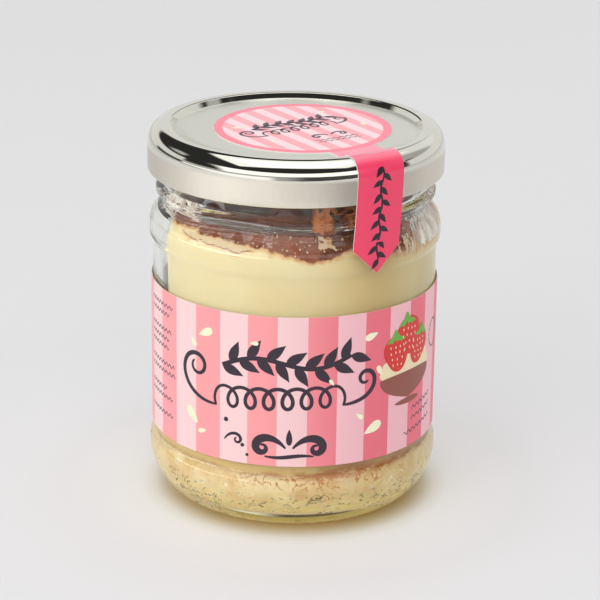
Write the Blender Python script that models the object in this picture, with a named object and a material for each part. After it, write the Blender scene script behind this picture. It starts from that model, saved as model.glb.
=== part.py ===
"""A baked cheesecake set in a round glass jar with a twist-off metal lid.

The jar stands on its bearing ring with its axis on +Z and the origin in the
middle of that ring, at floor level. The front, where the middle of the paper
label is, faces -Y. All sizes are in metres.
"""

import math

import bmesh
import bpy
from mathutils import Vector, noise

MM = 0.001
GAP = 0.3 * MM
MERGE = 0.001 * MM
SIDES = 60

# Glass jar, outside, from the floor up
FOOT_IN = 25.6 * MM
FOOT_OUT = 27.0 * MM
PUSH_UP = 2.4 * MM
PUSH_UP_EDGE = (17.0 * MM, 2.1 * MM)
FOOT_HOLLOW = (23.2 * MM, 0.5 * MM)
HEEL_RADIUS = 36.55 * MM
HEEL_HEIGHT = 12.4 * MM
HEEL_TOP = 13.8 * MM
HEEL_POWER = 1.8
PANEL_RADIUS = 35.5 * MM
PANEL_BOTTOM = 17.0 * MM
PANEL_TOP = 66.2 * MM
SHOULDER_RADIUS = 36.4 * MM
SHOULDER_BOTTOM = 68.6 * MM
SHOULDER_TOP = 70.4 * MM
SHOULDER_LEAN = 1.4
NECK_RADIUS = 33.4 * MM
NECK_HEIGHT = 77.4 * MM
BEAD_RADIUS = 34.8 * MM
BEAD_BOTTOM = 79.4 * MM
BEAD_TOP = 80.2 * MM
FINISH_RADIUS = 33.0 * MM
FINISH_BOTTOM = 81.6 * MM
RIM_TOP = 93.5 * MM

# Glass jar, inside
MOUTH_RADIUS = 31.0 * MM
MOUTH_BOTTOM = 78.0 * MM
INNER_RADIUS = 33.2 * MM
INNER_SHOULDER = 70.0 * MM
INNER_HEEL = 14.0 * MM
FLOOR_HEIGHT = 5.2 * MM
FLOOR_MIDDLE = 5.6 * MM
FLOOR_FLAT = 24.5 * MM

# Lid
LID_RADIUS = 36.82 * MM
LID_BOTTOM = 84.28 * MM
LID_BEND = 90.9 * MM
CREST_RADIUS = 33.3 * MM
LID_TOP = 95.4 * MM
CREST_INSIDE = (31.85 * MM, 95.2 * MM)
RECESS_RISE = (31.3 * MM, 94.45 * MM)
RECESS_RADIUS = 30.7 * MM
RECESS_HEIGHT = 94.2 * MM
TIN = 0.3 * MM
CURL_RADIUS = 0.85 * MM

# Paper label round the glass, with its ends almost meeting at the back
PAPER = 0.2 * MM
LABEL_RADIUS = 36.0 * MM
LABEL_BOTTOM = 18.8 * MM
LABEL_TOP = 57.25 * MM
LABEL_OPENING = 5.4
LABEL_STEPS = 64

# Sticker on the lid, with a pointed tail that seals lid and glass
STICKER_RADIUS = 22.25 * MM
STICKER_PLACE = (1.42 * MM, 0.52 * MM)
STICKER_STEPS = 48
TAIL_AZIMUTH = 33.4
TAIL_HALF_WIDTH = 6.55 * MM
TAIL_COLUMNS = 6
TAIL_START = 1.6 * MM
TAIL_SLANT = -0.036
TAIL_CORNER = 73.7 * MM
TAIL_TIP = 67.2 * MM

# Contents: a biscuit layer, and the cream baked on it; azimuths run from the front to the right
CAKE_SIDES = 60
SEAM_HEIGHT = 15.8 * MM
SEAM_WAVE = 0.9 * MM
SEAM_GRAIN = 9 * MM
SEAM_GAP = 0.25 * MM
CRUMB = 0.45 * MM
CRUMB_GRAIN = 1.6 * MM
SIDE_HEIGHTS = (22 * MM, 30 * MM, 40 * MM, 52 * MM, 62 * MM, 67 * MM)
BRIM_HEIGHTS = (69.5 * MM, 71.5 * MM, 73.3 * MM)
CAKE_EDGE = 75.4 * MM
CAKE_TOP = 77.6 * MM
CRAG = 1.1 * MM
CRAG_GRAIN = 2.6 * MM
CROWN_SHARES = (0.985, 0.93, 0.84, 0.7, 0.45)
CROWN_GRAIN = 11 * MM
SHRINK = 2.0 * MM
SHRINK_AZIMUTH = -90.0
SHRINK_SPREAD = 48.0
SHRINK_START = 24 * MM
SHRINK_FULL = 44 * MM


def clear_scene():
    """Removes whatever objects the open file holds."""
    for item in list(bpy.data.objects):
        bpy.data.objects.remove(item)


def principled(name, colour, roughness, metallic=0.0, alpha=1.0):
    """A material with one Principled shader."""
    finish = bpy.data.materials.new(name)
    finish.use_nodes = True
    shader = finish.node_tree.nodes["Principled BSDF"]
    shader.inputs["Base Color"].default_value = (*colour, 1.0)
    shader.inputs["Roughness"].default_value = roughness
    shader.inputs["Metallic"].default_value = metallic
    shader.inputs["Alpha"].default_value = alpha
    return finish


def finished(name, bm, finish):
    """Turns a bmesh into a named, smoothly shaded object."""
    mesh = bpy.data.meshes.new(name)
    bm.to_mesh(mesh)
    bm.free()
    mesh.shade_smooth()
    mesh.set_sharp_from_angle(angle=math.radians(35))
    mesh.materials.append(finish)
    item = bpy.data.objects.new(name, mesh)
    bpy.context.scene.collection.objects.link(item)
    return item


def ogee(start, end, count, lean=1.0):
    """An S-curve between two profile points, upright at both ends."""
    curve = []
    for i in range(1, count + 1):
        rise = i / count
        swing = (1 - math.cos(math.pi * rise**lean)) / 2
        curve.append((start[0] + (end[0] - start[0]) * swing, start[1] + (end[1] - start[1]) * rise))
    return curve


def corner(start, end, count, level_first=True, power=2.0):
    """A quarter of a superellipse that leaves start level, or upright, and turns to end."""
    curve = []
    for i in range(1, count + 1):
        turn = i / count * math.pi / 2
        along = math.sin(turn) ** (2 / power)
        across = 1 - max(math.cos(turn), 0.0) ** (2 / power)
        radial, axial = (along, across) if level_first else (across, along)
        curve.append((start[0] + (end[0] - start[0]) * radial, start[1] + (end[1] - start[1]) * axial))
    return curve


def turned(name, outline, finish):
    """Spins a profile of (radius, height) points, from axis to axis, round +Z into a closed solid."""
    bm = bmesh.new()
    points = [bm.verts.new((radius, 0, height)) for radius, height in outline]
    edges = [bm.edges.new(pair) for pair in zip(points, points[1:])]
    bmesh.ops.spin(bm, geom=points + edges, axis=(0, 0, 1), angle=math.tau, steps=SIDES, use_merge=True)
    bmesh.ops.remove_doubles(bm, verts=bm.verts, dist=MERGE)
    bmesh.ops.recalc_face_normals(bm, faces=bm.faces)
    return finished(name, bm, finish)


def stacked(name, rings, finish):
    """Joins rings of points, the first and last of them single points, into a closed solid."""
    bm = bmesh.new()
    rows = [[bm.verts.new(point) for point in ring] for ring in rings]
    for below, above in zip(rows, rows[1:]):
        count = max(len(below), len(above))
        for i in range(count):
            j = (i + 1) % count
            face = []
            for vert in (below[i % len(below)], below[j % len(below)], above[j % len(above)], above[i % len(above)]):
                if vert not in face:
                    face.append(vert)
            bm.faces.new(face)
    bmesh.ops.recalc_face_normals(bm, faces=bm.faces)
    return finished(name, bm, finish)


def smooth(low, high, value):
    """0 below low, 1 above high, and an even ramp between."""
    share = min(max((value - low) / (high - low), 0.0), 1.0)
    return share * share * (3 - 2 * share)


def glass_inside():
    """The jar's inner wall, from the middle of its floor up to the mouth."""
    wall = [(0.0, FLOOR_MIDDLE)]
    wall += [(FLOOR_FLAT * 0.5, (FLOOR_MIDDLE + FLOOR_HEIGHT) / 2), (FLOOR_FLAT, FLOOR_HEIGHT)]
    wall += corner((FLOOR_FLAT, FLOOR_HEIGHT), (INNER_RADIUS, INNER_HEEL), 7)
    wall += [(INNER_RADIUS, INNER_SHOULDER)]
    wall += ogee((INNER_RADIUS, INNER_SHOULDER), (MOUTH_RADIUS, MOUTH_BOTTOM), 5)
    return wall


def inner_radius(height):
    """How far the glass's inner wall is from the axis at a height."""
    wall = glass_inside()
    for (low_radius, low), (high_radius, high) in zip(wall, wall[1:]):
        if high > low and low <= height <= high and low_radius > 0:
            return low_radius + (high_radius - low_radius) * (height - low) / (high - low)
    return MOUTH_RADIUS


def make_jar(glass):
    """The glass jar: heel, sunk label panel, shoulder, neck, transfer bead and plain finish."""
    outline = [(0.0, PUSH_UP), PUSH_UP_EDGE, FOOT_HOLLOW, (FOOT_IN, 0.0), (FOOT_OUT, 0.0)]
    outline += corner((FOOT_OUT, 0.0), (HEEL_RADIUS, HEEL_HEIGHT), 9, power=HEEL_POWER)
    outline += [(HEEL_RADIUS, HEEL_TOP)]
    outline += ogee((HEEL_RADIUS, HEEL_TOP), (PANEL_RADIUS, PANEL_BOTTOM), 4)
    outline += [(PANEL_RADIUS, PANEL_TOP)]
    outline += ogee((PANEL_RADIUS, PANEL_TOP), (SHOULDER_RADIUS, SHOULDER_BOTTOM), 4)
    outline += [(SHOULDER_RADIUS, SHOULDER_TOP)]
    outline += ogee((SHOULDER_RADIUS, SHOULDER_TOP), (NECK_RADIUS, NECK_HEIGHT), 6, SHOULDER_LEAN)
    outline += ogee((NECK_RADIUS, NECK_HEIGHT), (BEAD_RADIUS, BEAD_BOTTOM), 3)
    outline += [(BEAD_RADIUS, BEAD_TOP), (FINISH_RADIUS, FINISH_BOTTOM)]
    rim = (FINISH_RADIUS - MOUTH_RADIUS) / 2
    outline += [(FINISH_RADIUS, RIM_TOP - rim)]
    outline += corner((FINISH_RADIUS, RIM_TOP - rim), (FINISH_RADIUS - rim, RIM_TOP), 2, level_first=False)
    outline += corner((FINISH_RADIUS - rim, RIM_TOP), (MOUTH_RADIUS, RIM_TOP - rim), 2)
    outline += reversed(glass_inside())
    return turned("jar", outline, glass)


def lid_outside():
    """The lid's outer profile, from the bottom of its side to the middle of its top."""
    bend = (LID_RADIUS, LID_BEND)
    crest = (CREST_RADIUS, LID_TOP)
    profile = [(LID_RADIUS, LID_BOTTOM + CURL_RADIUS), bend]
    profile += corner(bend, crest, 6, level_first=False)
    profile += [CREST_INSIDE, RECESS_RISE, (RECESS_RADIUS, RECESS_HEIGHT), (0.0, RECESS_HEIGHT)]
    return profile


def lid_inside():
    """The same wall one sheet thickness further in, from the middle of the top down."""
    bend = (LID_RADIUS - TIN, LID_BEND)
    crest = (CREST_RADIUS, LID_TOP - TIN)
    profile = [(LID_RADIUS - TIN, LID_BOTTOM + 3 * CURL_RADIUS), bend]
    profile += corner(bend, crest, 5, level_first=False)
    profile += [(RECESS_RADIUS + TIN, RECESS_HEIGHT - TIN), (0.0, RECESS_HEIGHT - TIN)]
    return reversed(profile)


def make_lid(steel):
    """The metal lid: a recessed panel, a rounded crest, a plain side and an inward curl."""
    middle = (LID_RADIUS - CURL_RADIUS, LID_BOTTOM + CURL_RADIUS)
    curl = []
    for i in range(6):
        turn = math.radians(180 + 36 * i)
        curl.append((middle[0] + CURL_RADIUS * math.cos(turn), middle[1] + CURL_RADIUS * math.sin(turn)))
    inner = [(middle[0] - CURL_RADIUS, middle[1] + CURL_RADIUS)]
    return turned("lid", [*lid_inside(), *inner, *curl, *lid_outside()[1:]], steel)


def make_label(paper):
    """The printed sleeve round the sunk panel, open by a narrow slit at the back."""
    bm = bmesh.new()
    section = [
        (LABEL_RADIUS - PAPER, LABEL_BOTTOM),
        (LABEL_RADIUS, LABEL_BOTTOM),
        (LABEL_RADIUS, LABEL_TOP),
        (LABEL_RADIUS - PAPER, LABEL_TOP),
    ]
    start = 90 + LABEL_OPENING / 2
    rows = []
    for i in range(LABEL_STEPS + 1):
        turn = math.radians(start + (360 - LABEL_OPENING) * i / LABEL_STEPS)
        rows.append([bm.verts.new((r * math.cos(turn), r * math.sin(turn), z)) for r, z in section])
    for row, following in zip(rows, rows[1:]):
        for i in range(len(section)):
            j = (i + 1) % len(section)
            bm.faces.new((row[i], row[j], following[j], following[i]))
    bm.faces.new(rows[0])
    bm.faces.new(rows[-1])
    bmesh.ops.recalc_face_normals(bm, faces=bm.faces)
    return finished("jar_label", bm, paper)


def tail_path():
    """The tail's run over the lid's edge and down to the shoulder, as (radius, height)."""
    lift = GAP
    path = [(r + lift * smooth(CREST_RADIUS, LID_RADIUS, r), z + lift) for r, z in reversed(lid_outside()[1:-1])]
    path = [point for point in path if point[0] >= RECESS_RADIUS]
    side = LID_RADIUS + lift
    path[-1] = (side, LID_BEND)
    path += [(side, LID_BOTTOM + CURL_RADIUS), (SHOULDER_RADIUS + 1.8 * lift, NECK_HEIGHT)]
    path += [(SHOULDER_RADIUS + 1.3 * lift, TAIL_CORNER), (SHOULDER_RADIUS + 1.2 * lift, TAIL_TIP)]
    return path


def tail_point(radius, height, offset):
    """A point of the tail at a distance from the axis, an offset to the side of its middle line."""
    forward = math.sqrt(radius**2 - offset**2)
    turn = math.radians(TAIL_AZIMUTH)
    x = forward * math.sin(turn) + offset * math.cos(turn)
    y = -forward * math.cos(turn) + offset * math.sin(turn)
    return Vector((x, y, height))


def make_lid_sticker(film):
    """The round sticker on the lid and its tail, cut in one piece."""
    bm = bmesh.new()
    level = RECESS_HEIGHT + GAP
    turn = math.radians(TAIL_AZIMUTH)
    across = Vector((math.cos(turn), math.sin(turn)))
    along = Vector((math.sin(turn), -math.cos(turn)))
    place = Vector(STICKER_PLACE)
    middle = TAIL_START
    shares = [2 * i / TAIL_COLUMNS - 1 for i in range(TAIL_COLUMNS + 1)]
    edge = []
    for side in (TAIL_HALF_WIDTH, -TAIL_HALF_WIDTH):
        reach = middle + side - place.dot(across)
        edge.append(math.atan2(reach, math.sqrt(STICKER_RADIUS**2 - reach**2)))
    rim = []
    for i in range(STICKER_STEPS + 1):
        angle = edge[0] + (math.tau + edge[1] - edge[0]) * i / STICKER_STEPS
        spot = place + STICKER_RADIUS * (math.cos(angle) * along + math.sin(angle) * across)
        rim.append(bm.verts.new((spot.x, spot.y, level)))
    joint = [rim[-1]]
    for share in shares[1:-1]:
        joint.append(bm.verts.new(rim[-1].co.lerp(rim[0].co, (share + 1) / 2)))
    joint.append(rim[0])
    bm.faces.new(rim + joint[1:-1])

    rows = [joint]
    run = 0.0
    last = (0.0, level)
    for radius, height in tail_path():
        run += math.dist(last, (radius, height))
        last = (radius, height)
        middle = TAIL_START + TAIL_SLANT * run
        if height == TAIL_TIP:
            rows.append([bm.verts.new(tail_point(radius, height, middle))])
        else:
            offsets = [middle + TAIL_HALF_WIDTH * share for share in shares]
            rows.append([bm.verts.new(tail_point(radius, height, offset)) for offset in offsets])
    for row, following in zip(rows, rows[1:]):
        for i in range(TAIL_COLUMNS):
            if len(following) > 1:
                bm.faces.new((row[i], row[i + 1], following[i + 1], following[i]))
            else:
                bm.faces.new((row[i], row[i + 1], following[0]))
    bmesh.ops.recalc_face_normals(bm, faces=bm.faces)
    sheet = finished("lid_sticker", bm, film)
    disc = max(sheet.data.polygons, key=lambda face: face.area)
    if disc.normal.z < 0:
        sheet.data.flip_normals()
    thick = sheet.modifiers.new("thickness", "SOLIDIFY")
    thick.thickness = PAPER
    thick.offset = 1.0
    return sheet


def seam(x, y):
    """The uneven height at which the biscuit meets the cream."""
    return SEAM_HEIGHT + SEAM_WAVE * noise.noise(Vector((x, y, 0.0)) / SEAM_GRAIN)


def shrunk(azimuth, height):
    """How far the cream has drawn back from the glass, mostly on the left."""
    turn = (azimuth - SHRINK_AZIMUTH + 180) % 360 - 180
    return SHRINK * math.exp(-((turn / SHRINK_SPREAD) ** 2)) * smooth(SHRINK_START, SHRINK_FULL, height)


def heading(azimuth):
    """The level direction at an azimuth in degrees, from the front (-Y) towards the right (+X)."""
    turn = math.radians(azimuth)
    return Vector((math.sin(turn), -math.cos(turn), 0.0))


def ring_at(radius, height, rough=0.0, grain=CRAG_GRAIN):
    """A ring of points whose radius and height are functions; roughness only cuts inwards."""
    ring = []
    for i in range(CAKE_SIDES):
        azimuth = 360 * i / CAKE_SIDES
        way = heading(azimuth)
        high = height(azimuth)
        spot = way * radius(azimuth, high) + Vector((0, 0, high))
        cut = (1 - noise.noise(spot / grain)) / 2 * rough
        ring.append(spot - way * cut)
    return ring


def level(height):
    """The same height all round."""
    return lambda azimuth: height


def even(radius):
    """The same radius all round."""
    return lambda azimuth, height: radius


def on_seam(radius, lift):
    """The seam's height at a radius, plus a lift."""

    def height(azimuth):
        spot = heading(azimuth) * radius
        return seam(spot.x, spot.y) + lift

    return height


def make_biscuit(crumb):
    """The pressed biscuit crumbs that fill the bottom of the jar."""
    rings = [[Vector((0, 0, FLOOR_MIDDLE + GAP))]]
    for radius, height in glass_inside():
        if radius > 0 and height < SEAM_HEIGHT - 2 * SEAM_WAVE:
            lean = smooth(FLOOR_FLAT * 0.8, INNER_RADIUS, radius)
            out = even(radius - GAP * (0.4 + lean))
            rings.append(ring_at(out, level(height + GAP * (1 - lean / 2)), CRUMB * lean, CRUMB_GRAIN))
    side = INNER_RADIUS - GAP
    rings.append(ring_at(even(side), on_seam(side, -1.5 * SEAM_GAP), CRUMB, CRUMB_GRAIN))
    for share in (0.97, 0.6):
        rings.append(ring_at(even(side * share), on_seam(side * share, -SEAM_GAP)))
    rings.append([Vector((0, 0, seam(0, 0) - SEAM_GAP))])
    return stacked("biscuit_base", rings, crumb)


def cake_side(azimuth, height):
    """The cream's radius: just inside the glass, less where it has drawn back."""
    return inner_radius(height) - GAP - shrunk(azimuth, height)


def crown_ring(share):
    """A ring of the uneven browned top, at a share of the cream's radius."""

    def radius(azimuth, height):
        return cake_side(azimuth, CAKE_EDGE) * share

    def height(azimuth):
        spot = heading(azimuth) * cake_side(azimuth, CAKE_EDGE) * share
        dome = (CAKE_TOP - CAKE_EDGE) * (1 - smooth(CROWN_SHARES[3], 1.0, share))
        return CAKE_EDGE + dome + CRAG * 0.7 * noise.noise(spot / CROWN_GRAIN)

    return ring_at(radius, height, CRAG / 2)


def make_cheesecake(cream):
    """The baked cream: a plain side with a craggy browned brim and top."""
    rings = [[Vector((0, 0, seam(0, 0) + SEAM_GAP))]]
    for share in (0.6, 0.96):
        rings.append(ring_at(even(INNER_RADIUS * share), on_seam(INNER_RADIUS * share, SEAM_GAP)))
    rings.append(ring_at(cake_side, on_seam(INNER_RADIUS, 3 * SEAM_GAP)))
    rings += [ring_at(cake_side, level(height)) for height in SIDE_HEIGHTS]
    rings += [ring_at(cake_side, level(height), CRAG) for height in BRIM_HEIGHTS]
    rings += [crown_ring(share) for share in CROWN_SHARES]
    rings.append([Vector((0, 0, CAKE_TOP))])
    return stacked("cheesecake", rings, cream)


def main():
    clear_scene()
    make_jar(principled("clear_glass", (0.93, 0.96, 0.94), 0.03, alpha=0.35))
    make_lid(principled("tinplate", (0.72, 0.69, 0.64), 0.28, metallic=1.0))
    make_label(principled("striped_paper", (0.93, 0.55, 0.60), 0.45))
    make_lid_sticker(principled("pink_film", (0.85, 0.22, 0.32), 0.4))
    make_biscuit(principled("biscuit_crumb", (0.68, 0.47, 0.26), 0.8))
    make_cheesecake(principled("baked_cream", (0.86, 0.76, 0.48), 0.5))


main()
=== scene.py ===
"""Looks of a baked cheesecake in a lidded glass jar, laid out as a Blender add-on and run as a script.

Every length is in metres. +Z runs up the jar's axis from the floor, and the front faces -Y.
Azimuths are in degrees from the front towards the right.
"""

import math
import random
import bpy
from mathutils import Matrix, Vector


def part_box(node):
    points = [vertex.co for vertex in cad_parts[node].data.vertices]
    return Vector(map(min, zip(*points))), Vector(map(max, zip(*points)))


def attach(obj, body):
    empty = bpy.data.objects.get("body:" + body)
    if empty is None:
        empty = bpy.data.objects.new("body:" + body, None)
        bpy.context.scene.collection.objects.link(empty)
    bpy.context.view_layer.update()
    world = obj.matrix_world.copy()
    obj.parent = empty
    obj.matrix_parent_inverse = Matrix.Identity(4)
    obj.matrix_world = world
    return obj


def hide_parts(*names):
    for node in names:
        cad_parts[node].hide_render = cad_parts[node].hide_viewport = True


bl_info = {
    "name": "Cheesecake jar",
    "version": (1, 0, 0),
    "blender": (4, 5, 0),
    "location": "3D View > Sidebar > Cheesecake",
    "description": "Builds a baked cheesecake in a glass jar with a metal lid, a striped label and a seal",
    "category": "Object",
}

import bmesh
import bpy
from bpy.props import FloatProperty, FloatVectorProperty, IntProperty, PointerProperty
from mathutils import Matrix, Vector, geometry, noise

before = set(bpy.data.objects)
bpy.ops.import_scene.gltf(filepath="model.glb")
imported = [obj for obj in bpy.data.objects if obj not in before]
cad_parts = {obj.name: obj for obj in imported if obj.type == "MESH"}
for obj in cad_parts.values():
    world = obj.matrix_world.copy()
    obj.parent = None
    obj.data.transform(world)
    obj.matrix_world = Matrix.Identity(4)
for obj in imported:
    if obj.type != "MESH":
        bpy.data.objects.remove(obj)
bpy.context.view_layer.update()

MM = 0.001
BODY = "root"
JAR_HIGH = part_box("jar")[1]
LID_LOW, LID_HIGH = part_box("lid")
LABEL_LOW, LABEL_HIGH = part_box("jar_label")


def screen(red, green, blue):
    """The linear colour of a colour that is named as it looks on a screen, 0 to 255."""
    return tuple(
        (c / 255 / 12.92) if c <= 10 else ((c / 255 + 0.055) / 1.055) ** 2.4 for c in (red, green, blue)
    )


def length(name, description, default):
    return FloatProperty(name=name, description=description, default=default, unit="LENGTH", precision=5)


def number(name, description, default):
    return FloatProperty(name=name, description=description, default=default)


def count(name, description, default):
    return IntProperty(name=name, description=description, default=default, min=3)


def colour(name, description, default):
    return FloatVectorProperty(name=name, description=description, default=screen(*default), subtype="COLOR")


class JarGlass(bpy.types.PropertyGroup):
    sides: count("Sides", "Steps round the jar", 288)
    heel_radius: length("Heel radius", "Widest radius near the floor", 36.55 * MM)
    panel_radius: length("Panel radius", "Radius of the sunk band that carries the label", 35.5 * MM)
    shoulder_radius: length("Shoulder radius", "Widest radius above the label", 36.4 * MM)
    neck_radius: length("Neck radius", "Narrowest radius under the bead", 33.4 * MM)
    bead_radius: length("Bead radius", "Radius of the transfer bead under the lid", 34.8 * MM)
    finish_radius: length("Finish radius", "Radius of the wall inside the lid", 33.0 * MM)
    inner_radius: length("Inner radius", "Radius of the inner wall", 33.2 * MM)
    mouth_radius: length("Mouth radius", "Inner radius of the neck", 31.0 * MM)
    foot_radius: length("Foot radius", "Outer radius of the bearing ring", 27.0 * MM)
    foot_bars: count("Foot bars", "Raised bars round the bearing ring", 58)
    foot_depth: length("Foot bar depth", "How deep the gaps between the bars are", 0.55 * MM)
    ripple: length("Neck ripple", "Height of the fine ripples under the lid", 0.1 * MM)
    tint: colour("Tint", "Colour of the glass", (253, 254, 253))
    depth_tint: colour("Depth tint", "Colour that the glass takes on through its depth", (235, 234, 176))


class JarLid(bpy.types.PropertyGroup):
    sides: count("Sides", "Steps round the lid", 288)
    radius: length("Radius", "Outer radius of the lid's side", LID_HIGH.x)
    top: length("Top", "Height of the crest", 95.4 * MM)
    bottom: length("Bottom", "Height of the lower edge", LID_LOW.z)
    bend: length("Bend", "Height at which the side starts to turn over", 90.9 * MM)
    crest_radius: length("Crest radius", "Radius of the crest's highest line", 33.0 * MM)
    recess_radius: length("Recess radius", "Radius at the foot of the wall round the panel", 30.6 * MM)
    recess_height: length("Recess height", "Height of the sunk panel", 94.2 * MM)
    sheet: length("Sheet", "Thickness of the tinplate", 0.25 * MM)
    steel: colour("Steel", "Colour of the tinplate's top", (232, 230, 218))
    side: colour("Side", "Colour of the tinplate's side", (229, 221, 207))
    satin: colour("Satin", "Colour of the satin panel", (222, 221, 209))
    lacquer: colour("Lacquer", "Colour of the gold lacquer inside", (150, 112, 48))


class JarLabel(bpy.types.PropertyGroup):
    sides: count("Sides", "Steps round the sleeve", 512)
    radius: length("Radius", "Outer radius of the paper", 36.0 * MM)
    paper: length("Paper", "Thickness of the paper", 0.13 * MM)
    opening: number("Opening", "Degrees between the label's ends at the back", 5.4)
    stripe_pair: number("Stripe pair", "Degrees that one dark and one pale stripe take", 23.3)
    stripe_start: number("Stripe start", "Azimuth at which one dark stripe begins", -66.4)
    dark: colour("Dark stripe", "Colour of the darker stripes", (251, 162, 165))
    pale: colour("Pale stripe", "Colour of the paler stripes", (249, 210, 210))
    # The two right-hand stripe colours are painted shade: the stripes darken towards the right as if lit from
    # the left.
    dark_painted_shade: colour("Dark stripe, right", "Colour of the darker stripes on the right", (232, 112, 127))
    pale_painted_shade: colour("Pale stripe, right", "Colour of the paler stripes on the right", (241, 184, 192))
    ink: colour("Ink", "Colour of the dark scrollwork", (52, 38, 52))
    cream: colour("Cream print", "Colour of the cream petals", (246, 243, 208))
    berry: colour("Berry", "Colour of the berries", (228, 52, 46))
    leaf: colour("Leaf", "Colour of the leaves", (110, 186, 66))
    whip: colour("Whipped cream", "Colour of the cream in the dish", (244, 226, 186))
    dish: colour("Dish", "Colour of the dish", (150, 84, 70))


class LidSeal(bpy.types.PropertyGroup):
    wide: length("Half width", "Half of the round sticker's width", 21.93 * MM)
    deep: length("Half depth", "Half of the round sticker's depth", 23.3 * MM)
    place_x: length("Place X", "Middle of the round sticker along X", 1.56 * MM)
    place_y: length("Place Y", "Middle of the round sticker along Y", -0.18 * MM)
    border: length("Border", "Width of the plain border", 2.1 * MM)
    film: length("Film", "Thickness of the sticker", 0.2 * MM)
    azimuth: number("Tail azimuth", "Direction in which the tail leaves the sticker", 33.4)
    half_width: length("Tail half width", "Half the width of the tail", 6.55 * MM)
    start: length("Tail start", "How far the tail's middle starts to the side of the axis", 1.6 * MM)
    slant: number("Tail slant", "Sideways drift for each metre along the tail", -0.036)
    corner: length("Tail corner", "Height at which the tail narrows", 73.7 * MM)
    tip: length("Tail tip", "Height of the tail's point", 67.2 * MM)
    stripe_pair: length("Stripe pair", "Width of one dark and one pale stripe", 5.85 * MM)
    tail: colour("Tail", "Colour of the tail", (238, 62, 100))
    # The bright tail colour is a painted reflection: the tail's pink, washed paler where it lies on the flat
    # panel.
    bright: colour("Bright tail", "Colour of the tail where it lies on the panel", (253, 152, 172))
    ink: colour("Ink", "Colour of the ornament on the round sticker", (92, 76, 88))
    rim: colour("Rim", "Colour of the border", (253, 128, 148))
    dark: colour("Dark stripe", "Colour of the darker stripes", (252, 170, 176))
    pale: colour("Pale stripe", "Colour of the paler stripes", (252, 218, 222))


class BiscuitLayer(bpy.types.PropertyGroup):
    sides: count("Sides", "Steps round the biscuit layer", 640)
    seam: length("Seam", "Mean height at which biscuit and cream meet", 15.6 * MM)
    wave: length("Wave", "How far the seam rises and falls", 1.0 * MM)
    pores: count("Pores", "Small hollows against the glass", 210)
    pale: colour("Pale crumb", "Lighter crumb", (238, 218, 178))
    mid: colour("Crumb", "Mean crumb", (227, 197, 144))
    toast: colour("Toasted crumb", "Toasted flecks and lines", (190, 116, 58))
    # The hollow colour is painted shade: dark lines where small hollows in the crumb lie against the glass.
    shade: colour("Hollow", "Lines of the small hollows", (88, 70, 52))


class BakedCream(bpy.types.PropertyGroup):
    sides: count("Sides", "Steps round the cream", 600)
    edge: length("Edge", "Height of the cream's upper edge", 75.4 * MM)
    top: length("Top", "Height of the middle of the top", 77.6 * MM)
    shrink: length("Shrink", "How far the cream has drawn back from the glass on the left", 2.0 * MM)
    pale: colour("Cream", "Colour of the cream", (233, 220, 178))
    deep: colour("Deep cream", "Colour of the cream's darker patches", (229, 213, 163))
    # This colour is painted shade on the right of the front, and also the warmer cream just above the
    # biscuit.
    warm_and_painted_shade: colour("Warm cream", "Colour of the cream on the warmer side", (219, 191, 131))
    gold: colour("Golden cream", "Colour of the cream next to the biscuit", (246, 212, 142))
    tan: colour("Tan", "Colour between cream and crust", (214, 164, 112))
    rust: colour("Rust", "Colour of the browned film on the glass", (206, 132, 88))
    crust: colour("Crust", "Colour of the browned top", (147, 86, 64))
    burnt: colour("Burnt crust", "Darkest patches of the browned top", (98, 53, 38))
    dry: colour("Dry edge", "Colour of the pale dry edge and flakes", (220, 200, 168))
    # The haze colour is partly a painted highlight: a near-white film that also stands in for glints on the
    # glass.
    haze: colour("Haze", "Colour of the palest film on the glass", (250, 246, 240))


class SoftStudio(bpy.types.PropertyGroup):
    lens: number("Lens", "Focal length on a 36 mm sensor", 138.82)
    camera_x: length("Camera X", "Camera place along X", 1.507 * MM)
    camera_y: length("Camera Y", "Camera place along Y", -553.32 * MM)
    camera_z: length("Camera Z", "Camera height", 242.28 * MM)
    elevation: number("Elevation", "Degrees by which the camera looks down", 19.233)
    roll: number("Roll", "Degrees by which the camera is rolled", 0.881)
    # Near and far floor are painted light: the floor's colour is darker in front of the jar and lighter far
    # behind it.
    near: number("Near floor", "Brightness of the floor in front of the jar", 0.9)
    far: number("Far floor", "Brightness of the floor far behind the jar", 1.09)


SETTINGS = {
    "glass": JarGlass,
    "lid": JarLid,
    "label": JarLabel,
    "seal": LidSeal,
    "biscuit": BiscuitLayer,
    "cream": BakedCream,
    "studio": SoftStudio,
}


class CheesecakeJar(bpy.types.PropertyGroup):
    glass: PointerProperty(type=JarGlass)
    lid: PointerProperty(type=JarLid)
    label: PointerProperty(type=JarLabel)
    seal: PointerProperty(type=LidSeal)
    biscuit: PointerProperty(type=BiscuitLayer)
    cream: PointerProperty(type=BakedCream)
    studio: PointerProperty(type=SoftStudio)


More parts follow.
